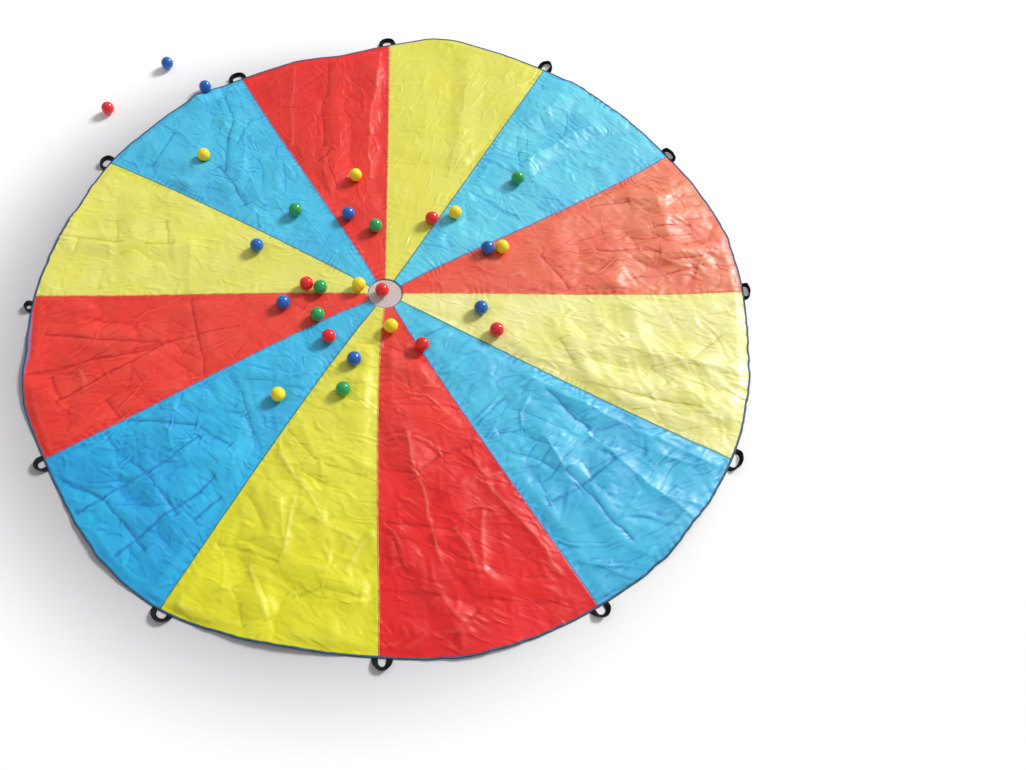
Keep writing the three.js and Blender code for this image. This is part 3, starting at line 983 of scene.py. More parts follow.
# Pressed creases, gore by gore.
CREASES = lines_by_gore(
    ((0.47, 0.78, 0.62, 0.7, 0.4), (0.62, 0.7, 0.9, 0.57, 0.4), (0.57, 0.4, 0.9, 0.27, 0.25)),
    (
        (0.62, 0.38, 0.8, 0.45, 1), (0.8, 0.45, 0.9, 0.52, 0.9), (0.78, 0.14, 0.92, 0.2, 0.6),
        (0.45, 0.1, 0.47, 0.9, -0.4), (0.6, 0.62, 0.78, 0.92, 0.5),
    ),
    (
        (0.62, 0.53, 0.75, 0.61, -1), (0.75, 0.61, 0.8, 0.66, -0.8), (0.8, 0.44, 0.93, 0.5, -0.8),
        (0.82, 0.45, 0.68, 0.35, 0.7), (0.47, 0.4, 0.52, 0.95, -0.6), (0.78, 0.68, 0.95, 0.9, 0.7),
        (0.66, 0.88, 0.9, 0.82, -0.6), (0.68, 0.08, 0.8, 0.17, -0.5), (0.9, 0.1, 0.86, 0.4, 0.6),
    ),
    (
        (0.5, 0.55, 0.56, 0.8, -0.6), (0.55, 0.52, 0.98, 0.5, 0.6), (0.62, 0.92, 0.9, 0.78, -0.8),
        (0.92, 0.3, 0.86, 0.48, -0.5), (0.6, 0.3, 0.66, 0.45, 0.5), (0.74, 0.62, 0.8, 0.7, -0.5),
    ),
    (
        (0.52, 0.17, 0.68, 0.28, -1), (0.66, 0.31, 1, 0.38, 0.8), (0.6, 0.57, 0.7, 0.63, 1),
        (0.7, 0.63, 0.93, 0.67, -1), (0.77, 0.34, 0.755, 0.65, -0.9), (0.755, 0.65, 0.74, 0.88, -0.6),
        (0.53, 0.15, 0.98, 0.07, 0.6), (0.55, 0.62, 0.52, 0.85, -0.5), (0.63, 0.8, 0.75, 0.9, -0.5),
    ),
    (
        (0.52, 0.12, 0.51, 0.4, -0.9), (0.51, 0.4, 0.55, 0.66, -0.9), (0.55, 0.66, 0.52, 1, -0.5),
        (0.43, 0.7, 0.56, 0.66, 0.9), (0.56, 0.66, 0.78, 0.63, 0.8), (0.68, 0.28, 0.82, 0.42, 0.8),
        (0.82, 0.42, 0.7, 0.5, 0.8), (0.88, 0.76, 0.71, 0.92, -0.9), (0.62, 0.17, 0.9, 0.05, 0.8),
        (0.83, 0.98, 0.87, 0.6, -1), (0.87, 0.6, 0.95, 0.15, -0.9), (0.72, 0.45, 0.67, 0.95, -0.7),
        (0.9, 0.5, 0.97, 0.68, -0.7),
    ),
    (
        (0.55, 0.08, 0.53, 0.6, -0.6), (0.53, 0.6, 0.49, 0.95, -0.6), (0.68, 0.35, 0.55, 0.95, 0.7),
        (0.64, 0.62, 0.8, 0.55, 0.8), (0.76, 0.58, 0.66, 0.72, 0.6), (0.7, 0.02, 0.8, 0.2, 0.7),
        (0.81, 0.55, 0.83, 0.95, -0.9), (0.94, 0.52, 0.84, 0.72, 0.8), (0.85, 0.08, 0.84, 0.3, -0.7),
        (0.84, 0.3, 0.88, 0.42, -0.6), (0.72, 0.1, 0.67, 0.55, 0.6), (0.9, 0.75, 0.97, 0.6, -0.5),
    ),
    (
        (0.57, 0.08, 0.52, 0.45, -0.7), (0.52, 0.45, 0.56, 0.66, -0.6), (0.52, 0.55, 0.55, 0.98, -0.8),
        (0.61, 0.3, 0.63, 0.62, -0.6), (0.63, 0.64, 0.68, 0.78, -1.2), (0.68, 0.78, 0.77, 1, -1.2),
        (0.64, 0.53, 0.8, 0.58, -0.8), (0.8, 0.58, 1, 0.64, -0.9), (0.69, 0.22, 0.8, 0.27, -1.1),
        (0.8, 0.27, 1, 0.33, -1), (0.83, 0.22, 0.8, 0.55, -1.1), (0.8, 0.55, 0.82, 0.72, -1.2),
        (0.82, 0.72, 0.84, 0.95, -0.8), (0.93, 0.22, 0.92, 0.6, -1.3), (0.92, 0.6, 1, 0.95, -1.2),
        (0.72, 0.08, 0.82, 0.14, -0.7), (0.8, 0.26, 0.91, 0.55, -0.4), (0.72, 0.6, 0.69, 0.85, 0.6),
    ),
    (
        (0.54, 0.03, 0.54, 0.97, -0.8), (0.41, 0.5, 0.62, 0.5, -0.6), (0.62, 0.49, 0.78, 0.37, -0.9),
        (0.78, 0.37, 0.93, 0.27, -0.9), (0.63, 0.5, 0.99, 0.49, -1), (0.63, 0.52, 0.8, 0.65, -0.8),
        (0.8, 0.65, 0.94, 0.74, -0.9), (0.84, 0.3, 0.85, 0.45, 0.6), (0.91, 0.28, 0.92, 0.46, -0.8),
        (0.78, 0.02, 0.8, 0.2, -0.7),
    ),
    (
        (0.63, 0.52, 0.72, 0.46, -0.6), (0.78, 0.45, 0.96, 0.41, -0.6), (0.55, 0.02, 0.59, 0.6, 0.5),
        (0.65, 0.5, 0.69, 0.72, -0.5), (0.8, 0.05, 0.81, 0.22, -0.4), (0.8, 0.42, 0.83, 0.62, -0.4),
        (0.91, 0.25, 0.91, 0.42, -0.5),
    ),
    (
        (0.52, 0.2, 0.62, 0.34, -1), (0.62, 0.34, 0.7, 0.4, -0.9), (0.66, 0.36, 0.82, 0.78, -1),
        (0.82, 0.78, 1, 0.88, -0.8), (0.62, 0.5, 0.8, 0.87, 0.7), (0.7, 0.4, 0.92, 0.43, 0.5),
        (0.48, 0.3, 0.6, 0.55, 0.5), (0.85, 0.08, 0.9, 0.4, -0.4),
    ),
    (
        (0.4, 0.28, 0.53, 0.32, -0.6), (0.53, 0.2, 0.57, 0.42, -0.7), (0.58, 0.33, 0.7, 0.42, -0.8),
        (0.7, 0.42, 0.95, 0.6, -0.8), (0.42, 0.75, 0.6, 0.82, 0.6), (0.6, 0.82, 0.95, 0.93, 0.7),
        (0.62, 0.05, 0.78, 0.22, 0.5), (0.78, 0.22, 0.95, 0.36, 0.5),
    ),
)

# Where the rim stands up off the floor: its clock hour, half its length in hours, and its height.
LIFTS = (
    (0.35, 0.3, 0.008),
    (4.45, 0.3, 0.009),
    (5.55, 0.3, 0.008),
    (6.5, 0.36, 0.012),
    (7.45, 0.32, 0.009),
    (8.5, 0.34, 0.012),
    (9.45, 0.3, 0.009),
    (10.76, 0.17, 0.024),
    (11.5, 0.3, 0.008),
)

HEM_GORE = 8  # the ninth gore, whose hem is turned over


@dataclass(frozen=True)
class Puckers:
    """The ripples that a row of stitching draws up, each a sine along it that dies away beside it."""

    height: float  # how tall they are
    pitch: float  # how far apart they are
    reach: float  # how far beside the stitching they die away, by the exponential of the distance
    stray: float  # how uneven their pitch is
    size: float  # the size of the noise that makes it so
    salt: int  # which noise

    def rise(self, spot: "Spot", run: Array, away: Array, share: Array) -> Array:
        """The ripples' height.

        Args:
            spot: The places.
            run: How far along the stitching each is.
            away: How far beside it.
            share: How much the stitching gathers the cloth there.

        Returns:
            The height at each place.
        """
        along = run / self.pitch + self.stray * soft_noise(spot.x, spot.y, self.size, self.salt)
        return self.height * share * np.sin(FULL_TURN * along) * np.exp(-away / self.reach)


@dataclass(frozen=True)
class Spot:
    """Places on one gore."""

    gore: int  # the gore's number, from 0
    x: Array  # each place's X
    y: Array  # each place's Y
    inward: Array  # how far inside the rim it is
    seam_away: Array  # how far from the nearer seam it is

    def drawn(self, bearing: float) -> tuple[Array, Array]:
        """The places' distances along and across a bearing, in degrees clockwise from 12 o'clock."""
        turn = math.radians(bearing)
        along = self.x * math.sin(turn) + self.y * math.cos(turn)
        return along, self.x * math.cos(turn) - self.y * math.sin(turn)

    def noise(self, size: float, salt: int) -> Array:
        """Soft noise at the places."""
        return soft_noise(self.x, self.y, size, salt)


@dataclass
class Cloth:
    """The height of the laid-out cloth over the floor, the same for every piece that lies on it."""

    plan: Plan
    balls: list[tuple[Array, float]]  # each ball's centre and radius
    hinges: Array  # the middle of each hand loop's hinge, on the floor, one row for each loop
    crumpling: Crumpling = Crumpling()  # the facets' form
    facets: tuple[Layer, ...] = (Layer(0.0085, 0.26, 11), Layer(0.0042, 0.13, 23))  # their sizes
    billows: tuple[Layer, ...] = (Layer(0.0034, 0.42, 5), Layer(0.0018, 0.17, 6))  # slow rises and falls
    fold_height: float = 0.009  # the height of a full storage fold
    fold_reach: float = 0.095  # half its width
    crease_height: float = 0.0062  # the height of a full pressed crease
    crease_reach: float = 0.021  # how far beside it the cloth rises to it
    # the noise that bends creases along X. The next salts bend them along Y
    crease_bend: tuple[Layer, ...] = (Layer(0.01, 0.1, 71), Layer(0.0025, 0.025, 75))
    crease_fade: float = 0.1  # the share of its length over which a crease's end fades
    line_width: float = 0.0064  # half the width of the painted shade or highlight line along a crease
    swell_height: float = 0.0034  # the height of broad soft swells
    swell_pitch: float = 0.1  # their width
    ridge_power: float = 1.7  # how sharp the drawn ridges are
    seam_puckers: Puckers = Puckers(0.0008, 0.036, 0.022, 1.2, 0.09, 61)  # what the seams' stitching draws up
    rim_puckers: Puckers = Puckers(0.0012, 0.05, 0.024, 1.8, 0.16, 62)  # what the rim's stitching draws up
    floor_gap: float = 0.0012  # the height of cloth that lies flat
    # how far all the cloth stands up, and how much more where it is crumpled
    loft: tuple[float, float] = (0.0022, 0.0042)
    softness: float = 0.0016  # how softly the cloth meets the floor
    lift_reach: float = 0.07  # how far inwards a lift of the rim dies away
    held_reach: float = 0.16  # how far along the rim a loop holds the cloth down at all
    held_ease: float = 0.1  # over what length it comes to hold fully
    held_depth: float = 0.022  # how far inwards its hold dies away
    held_sink: float = 0.008  # how far a full hold draws the cloth down
    dent_reach: float = 0.036  # how far round a ball the cloth gives
    ball_gap: float = 0.0004  # the gap between a ball and the cloth

    def spot(self, gore: int, turn: Array, radius: Array, across: Array) -> Spot:
        """Places on a gore by their turn and radius.

        Args:
            gore: The gore's number, from 0.
            turn: Each place's turn.
            radius: Each place's radius.
            across: Each place's share of the way across the gore.

        Returns:
            The places.
        """
        rim = self.plan.rim(turn)
        share = radius / rim
        width = radius * (self.plan.seam(gore + 1, share) - self.plan.seam(gore, share))
        seam_away = np.minimum(across, 1 - across) * width
        inward = np.maximum(rim - radius, 0)
        return Spot(gore, radius * np.sin(turn), radius * np.cos(turn), inward, seam_away)

    def ends(self, gore: int, line: Line) -> list[Array]:
        """A line's two ends on the floor, from its shares.

        Args:
            gore: The gore's number, from 0.
            line: The line.

        Returns:
            X and Y of its start and of its end.
        """
        ends = []
        for radius_share, across in ((line.from_radius, line.from_across), (line.to_radius, line.to_across)):
            share = np.array(radius_share)
            first, last = self.plan.seam(gore, share), self.plan.seam(gore + 1, share)
            turn = first + across * (last - first)
            ends.append(clock_point(turn, RADIUS * share, share)[:2])
        return ends

    def nearness(self, gore: int, line: Line, x: Array, y: Array) -> tuple[Array, Array]:
        """How near places are to a line.

        Args:
            gore: The gore's number, from 0.
            line: The line.
            x: Places along X.
            y: Places along Y.

        Returns:
            How far each is from the line, and how far along it its nearest point is, 0 to 1.
        """
        start, end = self.ends(gore, line)
        run = end - start
        along = ((x - start[0]) * run[0] + (y - start[1]) * run[1]) / (run @ run)
        held = np.clip(along, 0, 1)
        away = np.hypot(x - start[0] - held * run[0], y - start[1] - held * run[1])
        return away, held

    def folds(self, spot: Spot) -> Array:
        """The tallest storage fold at each place: half a cosine's rise and fall about each fold's line.

        Args:
            spot: The places.

        Returns:
            The folds' height.
        """
        tallest = np.zeros(spot.x.shape)
        for line in FOLDS[spot.gore]:
            away, _ = self.nearness(spot.gore, line, spot.x, spot.y)
            rise = 0.5 * (1 + np.cos(math.pi * np.minimum(1, away / self.fold_reach)))
            tallest = np.maximum(tallest, self.fold_height * line.strength * rise)
        return tallest

    def creases(self, spot: Spot) -> tuple[Array, Array, Array]:
        """The pressed creases.

        Each crease falls away from its line as the exponential of the distance, so it is sharp on the
        line itself, and it fades out over the last tenth of its length. Slow noise bends the lines.

        Args:
            spot: The places.

        Returns:
            The creases' height, the painted shade of sunk ones and the painted highlight of raised ones.
        """
        other_way = tuple(row._replace(salt=row.salt + 1) for row in self.crease_bend)
        bent_x = spot.x + layered(self.crease_bend, spot.x, spot.y)
        bent_y = spot.y + layered(other_way, spot.x, spot.y)
        patchy = 0.65 + 0.55 * spot.noise(0.05, 73)
        shape = spot.x.shape
        height, sunk_shade, raised = np.zeros(shape), np.zeros(shape), np.zeros(shape)
        for row in CREASES[spot.gore]:
            away, along = self.nearness(spot.gore, row, bent_x, bent_y)
            fade = smooth(np.minimum(along, 1 - along) / self.crease_fade + 0.35)
            height += self.crease_height * row.strength * fade * np.exp(-away / self.crease_reach)
            # the painted shade or highlight line along the crease
            line = abs(row.strength) * patchy * fade * np.exp(-((away / self.line_width) ** 2))
            if row.strength < 0:
                sunk_shade = np.maximum(sunk_shade, line)
            else:
                raised = np.maximum(raised, line)
        return height, np.clip(sunk_shade, 0, 1), np.clip(raised, 0, 1)

    def ridges(self, spot: Spot) -> Array:
        """Drawn ridges, sharp where slow noise crosses zero.

        Each size of noise is stretched along the way the cloth is drawn and bent by slower noise. A ridge
        is a power of how near the noise is to zero. Slow noise turns some ridges into valleys, and
        leaves calm patches between them.

        Args:
            spot: The places.

        Returns:
            The ridges' height.
        """
        total = np.zeros(spot.x.shape)
        for row in RIDGES:
            along, across = spot.drawn(LIES[spot.gore].bearing + row.aside)
            bent = across + 0.2 * row.pitch * spot.noise(1.6 * row.pitch, row.salt + 1)
            from_zero = np.abs(soft_noise(along / row.stretch, bent, row.pitch, row.salt))
            near = np.clip(1 - from_zero / row.foot, 0, 1) ** self.ridge_power
            side = np.clip(3 * spot.noise(2.2 * row.pitch, row.salt + 2), -1, 1)
            calm = np.clip(0.55 + 1.1 * spot.noise(0.23, row.salt + 3), 0.1, 1.2)
            total += row.height * near * side * calm
        return total

    def swells(self, spot: Spot) -> Array:
        """Broad soft swells: slow noise, three times as long the way the cloth is drawn as across it."""
        along, across = spot.drawn(LIES[spot.gore].bearing)
        return self.swell_height * soft_noise(along / 3, across, self.swell_pitch, 331)

    def lift(self, turn: Array, inward: Array) -> Array:
        """How high the rim stands off the floor: a smooth rise and fall along it, and a bell curve inwards.

        Args:
            turn: Each place's turn.
            inward: How far inside the rim it is.

        Returns:
            The lift at each place.
        """
        hour = (turn / FULL_TURN * GORES) % GORES
        rise = np.zeros(turn.shape)
        for at, half, height in LIFTS:
            away = np.abs((hour - at + GORES / 2) % GORES - GORES / 2)
            rise = np.maximum(rise, height * smooth(1 - away / half))
        return rise * np.exp(-((inward / self.lift_reach) ** 2))

    def held_down(self, spot: Spot) -> Array:
        """How firmly the sewn hand loops hold the cloth flat.

        It is 1 on the rim by a hinge. It eases to 0 along the rim, and as a bell curve inwards.

        Args:
            spot: The places.

        Returns:
            The hold, 0 to 1.
        """
        held = np.zeros(spot.x.shape)
        for hinge in self.hinges:
            away = np.hypot(spot.x - hinge[0], spot.y - hinge[1])
            held = np.maximum(held, smooth((self.held_reach - away) / self.held_ease))
        return held * np.exp(-((spot.inward / self.held_depth) ** 2))

    def wrinkles(self, spot: Spot) -> Array:
        """The drawn wrinkles' height at each place.

        Each wrinkle is a ridge of two straight runs that meet in a slight kink, where it is tallest. Its
        section is a bell curve, steeper on one side than on the other, and its height tapers to nothing
        at both ends. Where it lies and how big it is come from fixed random numbers.

        Args:
            spot: The places.

        Returns:
            The summed height of the gore's wrinkles.
        """
        gore, lie = spot.gore, LIES[spot.gore]
        order = np.arange(lie.count)
        luck = [chance(order, np.full(order.shape, gore), 200 + salt) for salt in range(8)]
        share = np.sqrt(0.04 + 0.92 * luck[0])
        first, last = self.plan.seam(gore, share), self.plan.seam(gore + 1, share)
        turns = first + luck[1] * (last - first)
        bearings = np.radians(lie.bearing + lie.spread * (2 * luck[2] - 1))
        lengths = lie.length * (0.5 + 1.9 * luck[3] ** 2)
        widths = lie.width * (0.6 + 0.9 * luck[4])
        heights = lie.height * (0.2 + 0.8 * luck[5] ** 2)
        kinks = 0.7 * (luck[6] - 0.5)
        sides = np.where(luck[7] > 0.5, 1.0, -1.0)
        steep = 0.6
        total = np.zeros(spot.x.shape)
        for n in range(lie.count):
            from_x = spot.x - RADIUS * share[n] * math.sin(turns[n])
            from_y = spot.y - RADIUS * share[n] * math.cos(turns[n])
            near = np.abs(from_x) + np.abs(from_y) < 1.5 * lengths[n] + 3 * widths[n]
            right, up = from_x[near], from_y[near]
            along = right * math.sin(bearings[n]) + up * math.cos(bearings[n])
            across = right * math.cos(bearings[n]) - up * math.sin(bearings[n]) - kinks[n] * np.abs(along)
            half_width = np.where(across * sides[n] > 0, widths[n], steep * widths[n])
            taper = np.clip(1 - (along / lengths[n]) ** 2, 0, 1) ** 2
            total[near] += heights[n] * taper * np.exp(-((across / half_width) ** 2))
        return total

    def puckers(self, spot: Spot, turn: Array, radius: Array) -> Array:
        """What the seams' and the rim's stitching draws up, uneven by slow noise, the rim's in patches.

        Args:
            spot: The places.
            turn: Each place's turn.
            radius: Each place's radius.

        Returns:
            The puckers' height.
        """
        even = np.ones(spot.x.shape)
        gathered = np.clip(0.2 + 1.6 * spot.noise(0.2, 64), 0, 1)
        seams = self.seam_puckers.rise(spot, radius, spot.seam_away, even)
        rim = self.rim_puckers.rise(spot, turn * self.plan.wave_radius, spot.inward, gathered)
        return (seams + rim) * (0.75 + 0.75 * spot.noise(0.12, 63))

    def under_balls(self, spot: Spot, height: Array) -> Array:
        """Brings the cloth to each ball's underside, by a bell curve about it, and keeps it out of the ball.

        Args:
            spot: The places.
            height: The cloth's height without the balls.

        Returns:
            Its height with them.
        """
        for centre, ball_radius in self.balls:
            away = np.hypot(spot.x - centre[0], spot.y - centre[1])
            bottom = centre[2] - ball_radius - self.ball_gap
            height += np.exp(-((away / self.dent_reach) ** 2)) * (bottom - height)
            under = away < 0.95 * ball_radius
            room = centre[2] - np.sqrt(np.maximum(ball_radius**2 - away**2, 0)) - self.ball_gap
            height = np.where(under, np.minimum(height, np.maximum(room, self.floor_gap)), height)
        return height

    def height(self, gore: int, turn: Array, radius: Array, across: Array) -> tuple[Array, Array, Array]:
        """The cloth's height over the floor, and how strongly the painted shade and highlight of creases
        show.

        The height is the storage folds, the creases, slow billows, broad facets, drawn ridges and
        wrinkles, and the puckers that the seam and rim stitching draw up. It eases into the floor as half
        the sum of itself and of the root of its square and a small square, and meets each ball's underside.

        Args:
            gore: The gore's number, from 0.
            turn: Each place's turn.
            radius: Each place's radius.
            across: Each place's share of the way across the gore.

        Returns:
            The height, the painted shade of sunk creases and the painted highlight of raised ones.
        """
        spot = self.spot(gore, turn, radius, across)
        rim_clear = smooth(spot.inward / 0.05)
        vent_clear = smooth((radius - 0.08) / 0.08)
        seam_clear = smooth(spot.seam_away / 0.02)
        inside = smooth(spot.seam_away / 0.06) * rim_clear * vent_clear
        drawn = seam_clear * (0.2 + 0.8 * rim_clear) * vent_clear
        own = 0.5 + (LIES[gore].crumpled - 0.5) * inside
        creases, sunk_shade, raised = self.creases(spot)
        facets = sum(f.height * self.crumpling.height(spot.x, spot.y, f.size, f.salt) for f in self.facets)
        total = (
            self.folds(spot) * inside
            + creases * seam_clear
            + (0.3 + 0.7 * inside) * layered(self.billows, spot.x, spot.y)
            + own * (0.35 + 0.65 * inside) * facets
            + (self.wrinkles(spot) + own * self.ridges(spot)) * drawn
            + own * self.swells(spot) * inside
            + self.puckers(spot, turn, radius)
            + self.loft[0]
            + self.loft[1] * own * inside
        )
        held = self.held_down(spot)
        total = total * (1 - held) - self.held_sink * held
        total = 0.5 * (total + np.sqrt(total**2 + self.softness**2))
        total += self.lift(turn, spot.inward) * (1 - held) + self.floor_gap
        shown = smooth(spot.seam_away / 0.012)
        return self.under_balls(spot, total), sunk_shade * shown, raised * shown


@dataclass
class Canopy:
    """The twelve gores, with the seams between them."""

    plan: Plan
    cloth: Cloth
    effects: Effects
    ring_radius: float = 0.078  # the vent ring's outer radius
    thickness: float = 0.0008  # the cloth's thickness as it is made here
    step: float = 0.006  # the pitch of the points
    length: float = 1.45  # how long the gores are, from the vent's ring to the rim
    breadth: float = 0.8  # how broad they are at the rim
    under_ring: float = 0.003  # how far the cloth runs under the vent's ring
    edge_inset: float = 0.004  # how far inside the tape's outer edge the cloth ends
    # where the turned-over hem starts, and how long it is, in hours
    hem_hours: tuple[float, float] = (8.42, 0.52)
    hem_width: float = 0.02  # how wide it is at most
    hollow_shade_bend: float = 28.0  # the bend at which a hollow gets its full painted shade
    crest_highlight_bend: float = 45.0  # the bend at which a crest gets its full painted highlight
    seam_length: float = 1.44  # how long the seams are
    seam_width: float = 0.0075  # the width of their felled edge
    seam_rise: float = 0.0009  # half its thickness
    seam_proud: float = 0.0003  # how far its middle stands over the cloth
    seam_wander: Layer = Layer(0.0006, 1.0, 81)  # how far it strays from its line, read at a rate along it
    wander_rate: float = 40.0  # that rate
    seam_under: float = 0.002  # how far it runs under the vent's ring
    seam_inset: float = 0.005  # how far inside the rim it ends
    seam_sides: int = 10  # how many sides its section has

    def finishes(self) -> dict[Dye, Material]:
        """The three cloths.

        Returns:
            Each dye's material.
        """
        # each dye's own colour, its darker tone for clouding and painted shade, and the pale colour of the
        # painted sheen and highlights
        rows = (
            (Dye.YELLOW, (234, 229, 44), (196, 192, 8), (253, 250, 196)),
            (Dye.BLUE, (44, 198, 238), (8, 120, 192), (130, 245, 244)),
            (Dye.RED, (248, 34, 34), (196, 6, 14), (255, 190, 138)),
        )
        return {
            dye: ClothFinish(f"{dye.value}_nylon", *(linear(*c) for c in colours)).material(self.effects)
            for dye, *colours in rows
        }

    def seam_finishes(self) -> dict[frozenset[Dye], Material]:
        """The overlocked edges, which take after the cloths on both sides.

        Returns:
            The material for each pair of dyes.
        """
        rows = (
            (Dye.YELLOW, Dye.BLUE, (52, 134, 138), (26, 96, 112), (132, 176, 116)),
            (Dye.BLUE, Dye.RED, (112, 92, 166), (58, 46, 120), (206, 190, 226)),
            (Dye.RED, Dye.YELLOW, (226, 142, 60), (176, 52, 30), (246, 214, 110)),
        )
        made = {}
        for one, other, *colours in rows:
            name = "_".join(sorted((one.value, other.value))) + "_overlock"
            finish = TapeFinish(name, *(linear(*c) for c in colours), stitch_pitch=0.011)
            made[frozenset((one, other))] = finish.material(self.effects)
        return made

    def turned_hem(self, turn: Array, inward: Array) -> Array:
        """Where the ninth gore's hem is turned over: a crescent along the rim, a power of a sine wide.

        Args:
            turn: Each place's turn.
            inward: How far inside the rim it is.

        Returns:
            How much of each place is turned over.
        """
        hour = turn / FULL_TURN * GORES
        start, span = self.hem_hours
        width = self.hem_width * np.sin(math.pi * np.clip((hour - start) / span, 0, 1)) ** 0.7
        return smooth((width - inward) / 0.002 + 0.5) * (width > 0.001)

    def bend(self, height: Array, radius: Array, span: Array) -> Array:
        """How sharply the cloth bends up: the summed second differences of its height both ways.

        Args:
            height: The cloth's height at each point.
            radius: Each point's radius.
            span: The turn from seam to seam there.

        Returns:
            The bend at each point, and zero along the edges.
        """
        rows, columns = height.shape
        least = 0.004  # the pitch below which columns are too close to tell
        row_step = (radius[-1] - radius[0]) / (rows - 1)
        column_step = np.maximum(radius * span / (columns - 1), least)
        middle = height[1:-1, 1:-1]
        bend = np.zeros(height.shape)
        bend[1:-1, 1:-1] = (height[2:, 1:-1] + height[:-2, 1:-1] - 2 * middle) / row_step[1:-1] ** 2
        sideways = (height[1:-1, 2:] + height[1:-1, :-2] - 2 * middle) / column_step[1:-1, 1:-1] ** 2
        bend[1:-1, 1:-1] += sideways
        return bend

    def build_gore(self, gore: int, material: Material) -> Piece:
        """Builds one gore: a fan of rows from the vent's ring to the binding.

        Args:
            gore: Its number, from 0.
            material: Its cloth.

        Returns:
            The gore.
        """
        step = self.step * 1
        rows, columns = int(self.length / step), int(self.breadth / step)
        down, over = np.linspace(0, 1, rows)[:, None], np.linspace(0, 1, columns)[None, :]
        share = np.broadcast_to(CORE + (1 - CORE) * down, (rows, columns))
        turn = self.plan.seam(gore, share) * (1 - over) + self.plan.seam(gore + 1, share) * over
        inner, outer = self.ring_radius - self.under_ring, self.plan.rim(turn) - self.edge_inset
        radius = inner + (outer - inner) * down
        share = radius / self.plan.rim(turn)
        turn = self.plan.seam(gore, share) * (1 - over) + self.plan.seam(gore + 1, share) * over
        height, sunk_shade, raised = self.cloth.height(gore, turn, radius, np.broadcast_to(over, turn.shape))
        inward = self.plan.rim(turn) - radius
        seam_span = self.plan.seam(gore + 1, share) - self.plan.seam(gore, share)
        bend = self.bend(height, radius, seam_span)
        lie = LIES[gore]
        # painted shade along sunk creases and in hollows, painted highlight on crests and raised creases, and
        # a painted sheen
        masks = {
            "crease_shade": sunk_shade,
            "hollow_shade": np.clip(bend / self.hollow_shade_bend, 0, 1),
            "crest_highlight": np.clip(0.35 * np.clip(-bend / self.crest_highlight_bend, 0, 1) + 0.65 * raised, 0, 1),
            "turned": self.turned_hem(turn, inward) if gore == HEM_GORE else np.zeros(turn.shape),
            "drawn": np.full(turn.shape, math.radians(lie.bearing)),
            "painted_sheen": lie.painted_sheen + (lie.painted_sheen_rim - lie.painted_sheen) * share,
        }
        centre_line = self.plan.seam(gore, share) + seam_span / 2
        cloth = np.stack([radius * (turn - centre_line), radius], axis=-1)
        grid = Grid(clock_point(turn, radius, height)[:, ::-1], cloth[:, ::-1])
        flipped = {name: values[:, ::-1].ravel() for name, values in masks.items()}
        dye = GORE_DYES[gore % len(GORE_DYES)]
        node = f"gore_{gore + 1:02d}_{dye.value}"
        piece = make_grid(f"cloth_{gore + 1:02d}_{dye.value}", [grid], flipped)
        thicken(piece, self.thickness)
        piece.data.materials.append(material)
        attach(piece, "canopy")
        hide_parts(node)
        return piece

    def build_seam(self, seam: int, material: Material) -> Piece:
        """Builds one felled seam: a low rounded welt from the vent's ring to the binding.

        Its section is half an ellipse over the cloth, and its feet are let into the cloth.

        Args:
            seam: Its number, from 0 at 12 o'clock.
            material: Its stitched edge.

        Returns:
            The seam.
        """
        down = np.linspace(0, 1, int(self.seam_length / self.step))[:, None]
        around = np.linspace(0, FULL_TURN, self.seam_sides, endpoint=False)[None, :]
        share = CORE + 0.945 * down
        turn = self.plan.seam(seam, share)
        reach = self.plan.rim(turn) - self.seam_inset - self.ring_radius
        radius = self.ring_radius - self.seam_under + reach * down
        turn = self.plan.seam(seam, radius / self.plan.rim(turn))
        height, _, _ = self.cloth.height(seam % GORES, turn, radius, np.zeros(turn.shape))
        lane = np.full(radius.shape, 3.0 * seam)
        wander = layered((self.seam_wander,), radius * self.wander_rate, lane)
        offset = 0.5 * self.seam_width * np.cos(around) + wander
        flatter_below = np.where(np.sin(around) > 0, 1, 0.7)
        rise = height + self.seam_proud + self.seam_rise * np.sin(around) * flatter_below
        points = clock_point(turn + offset / radius, radius, rise)
        cloth = np.stack([np.broadcast_to(offset, rise.shape), np.broadcast_to(radius, rise.shape)], -1)
        piece = make_grid(f"seam_{seam or GORES:02d}", [Grid(points, cloth, loop_columns=True)])
        mend(piece)
        piece.data.materials.append(material)
        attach(piece, "canopy")
        return piece

    def build(self) -> None:
        """Builds every gore and seam."""
        cloths, edges = self.finishes(), self.seam_finishes()
        for gore in range(GORES):
            dye = GORE_DYES[gore % len(GORE_DYES)]
            LOG.info("cloth %s", self.build_gore(gore, cloths[dye]).name)
        for seam in range(GORES):
            sides = frozenset(GORE_DYES[n % len(GORE_DYES)] for n in (seam, seam - 1))
            LOG.info("seam %s", self.build_seam(seam, edges[sides]).name)


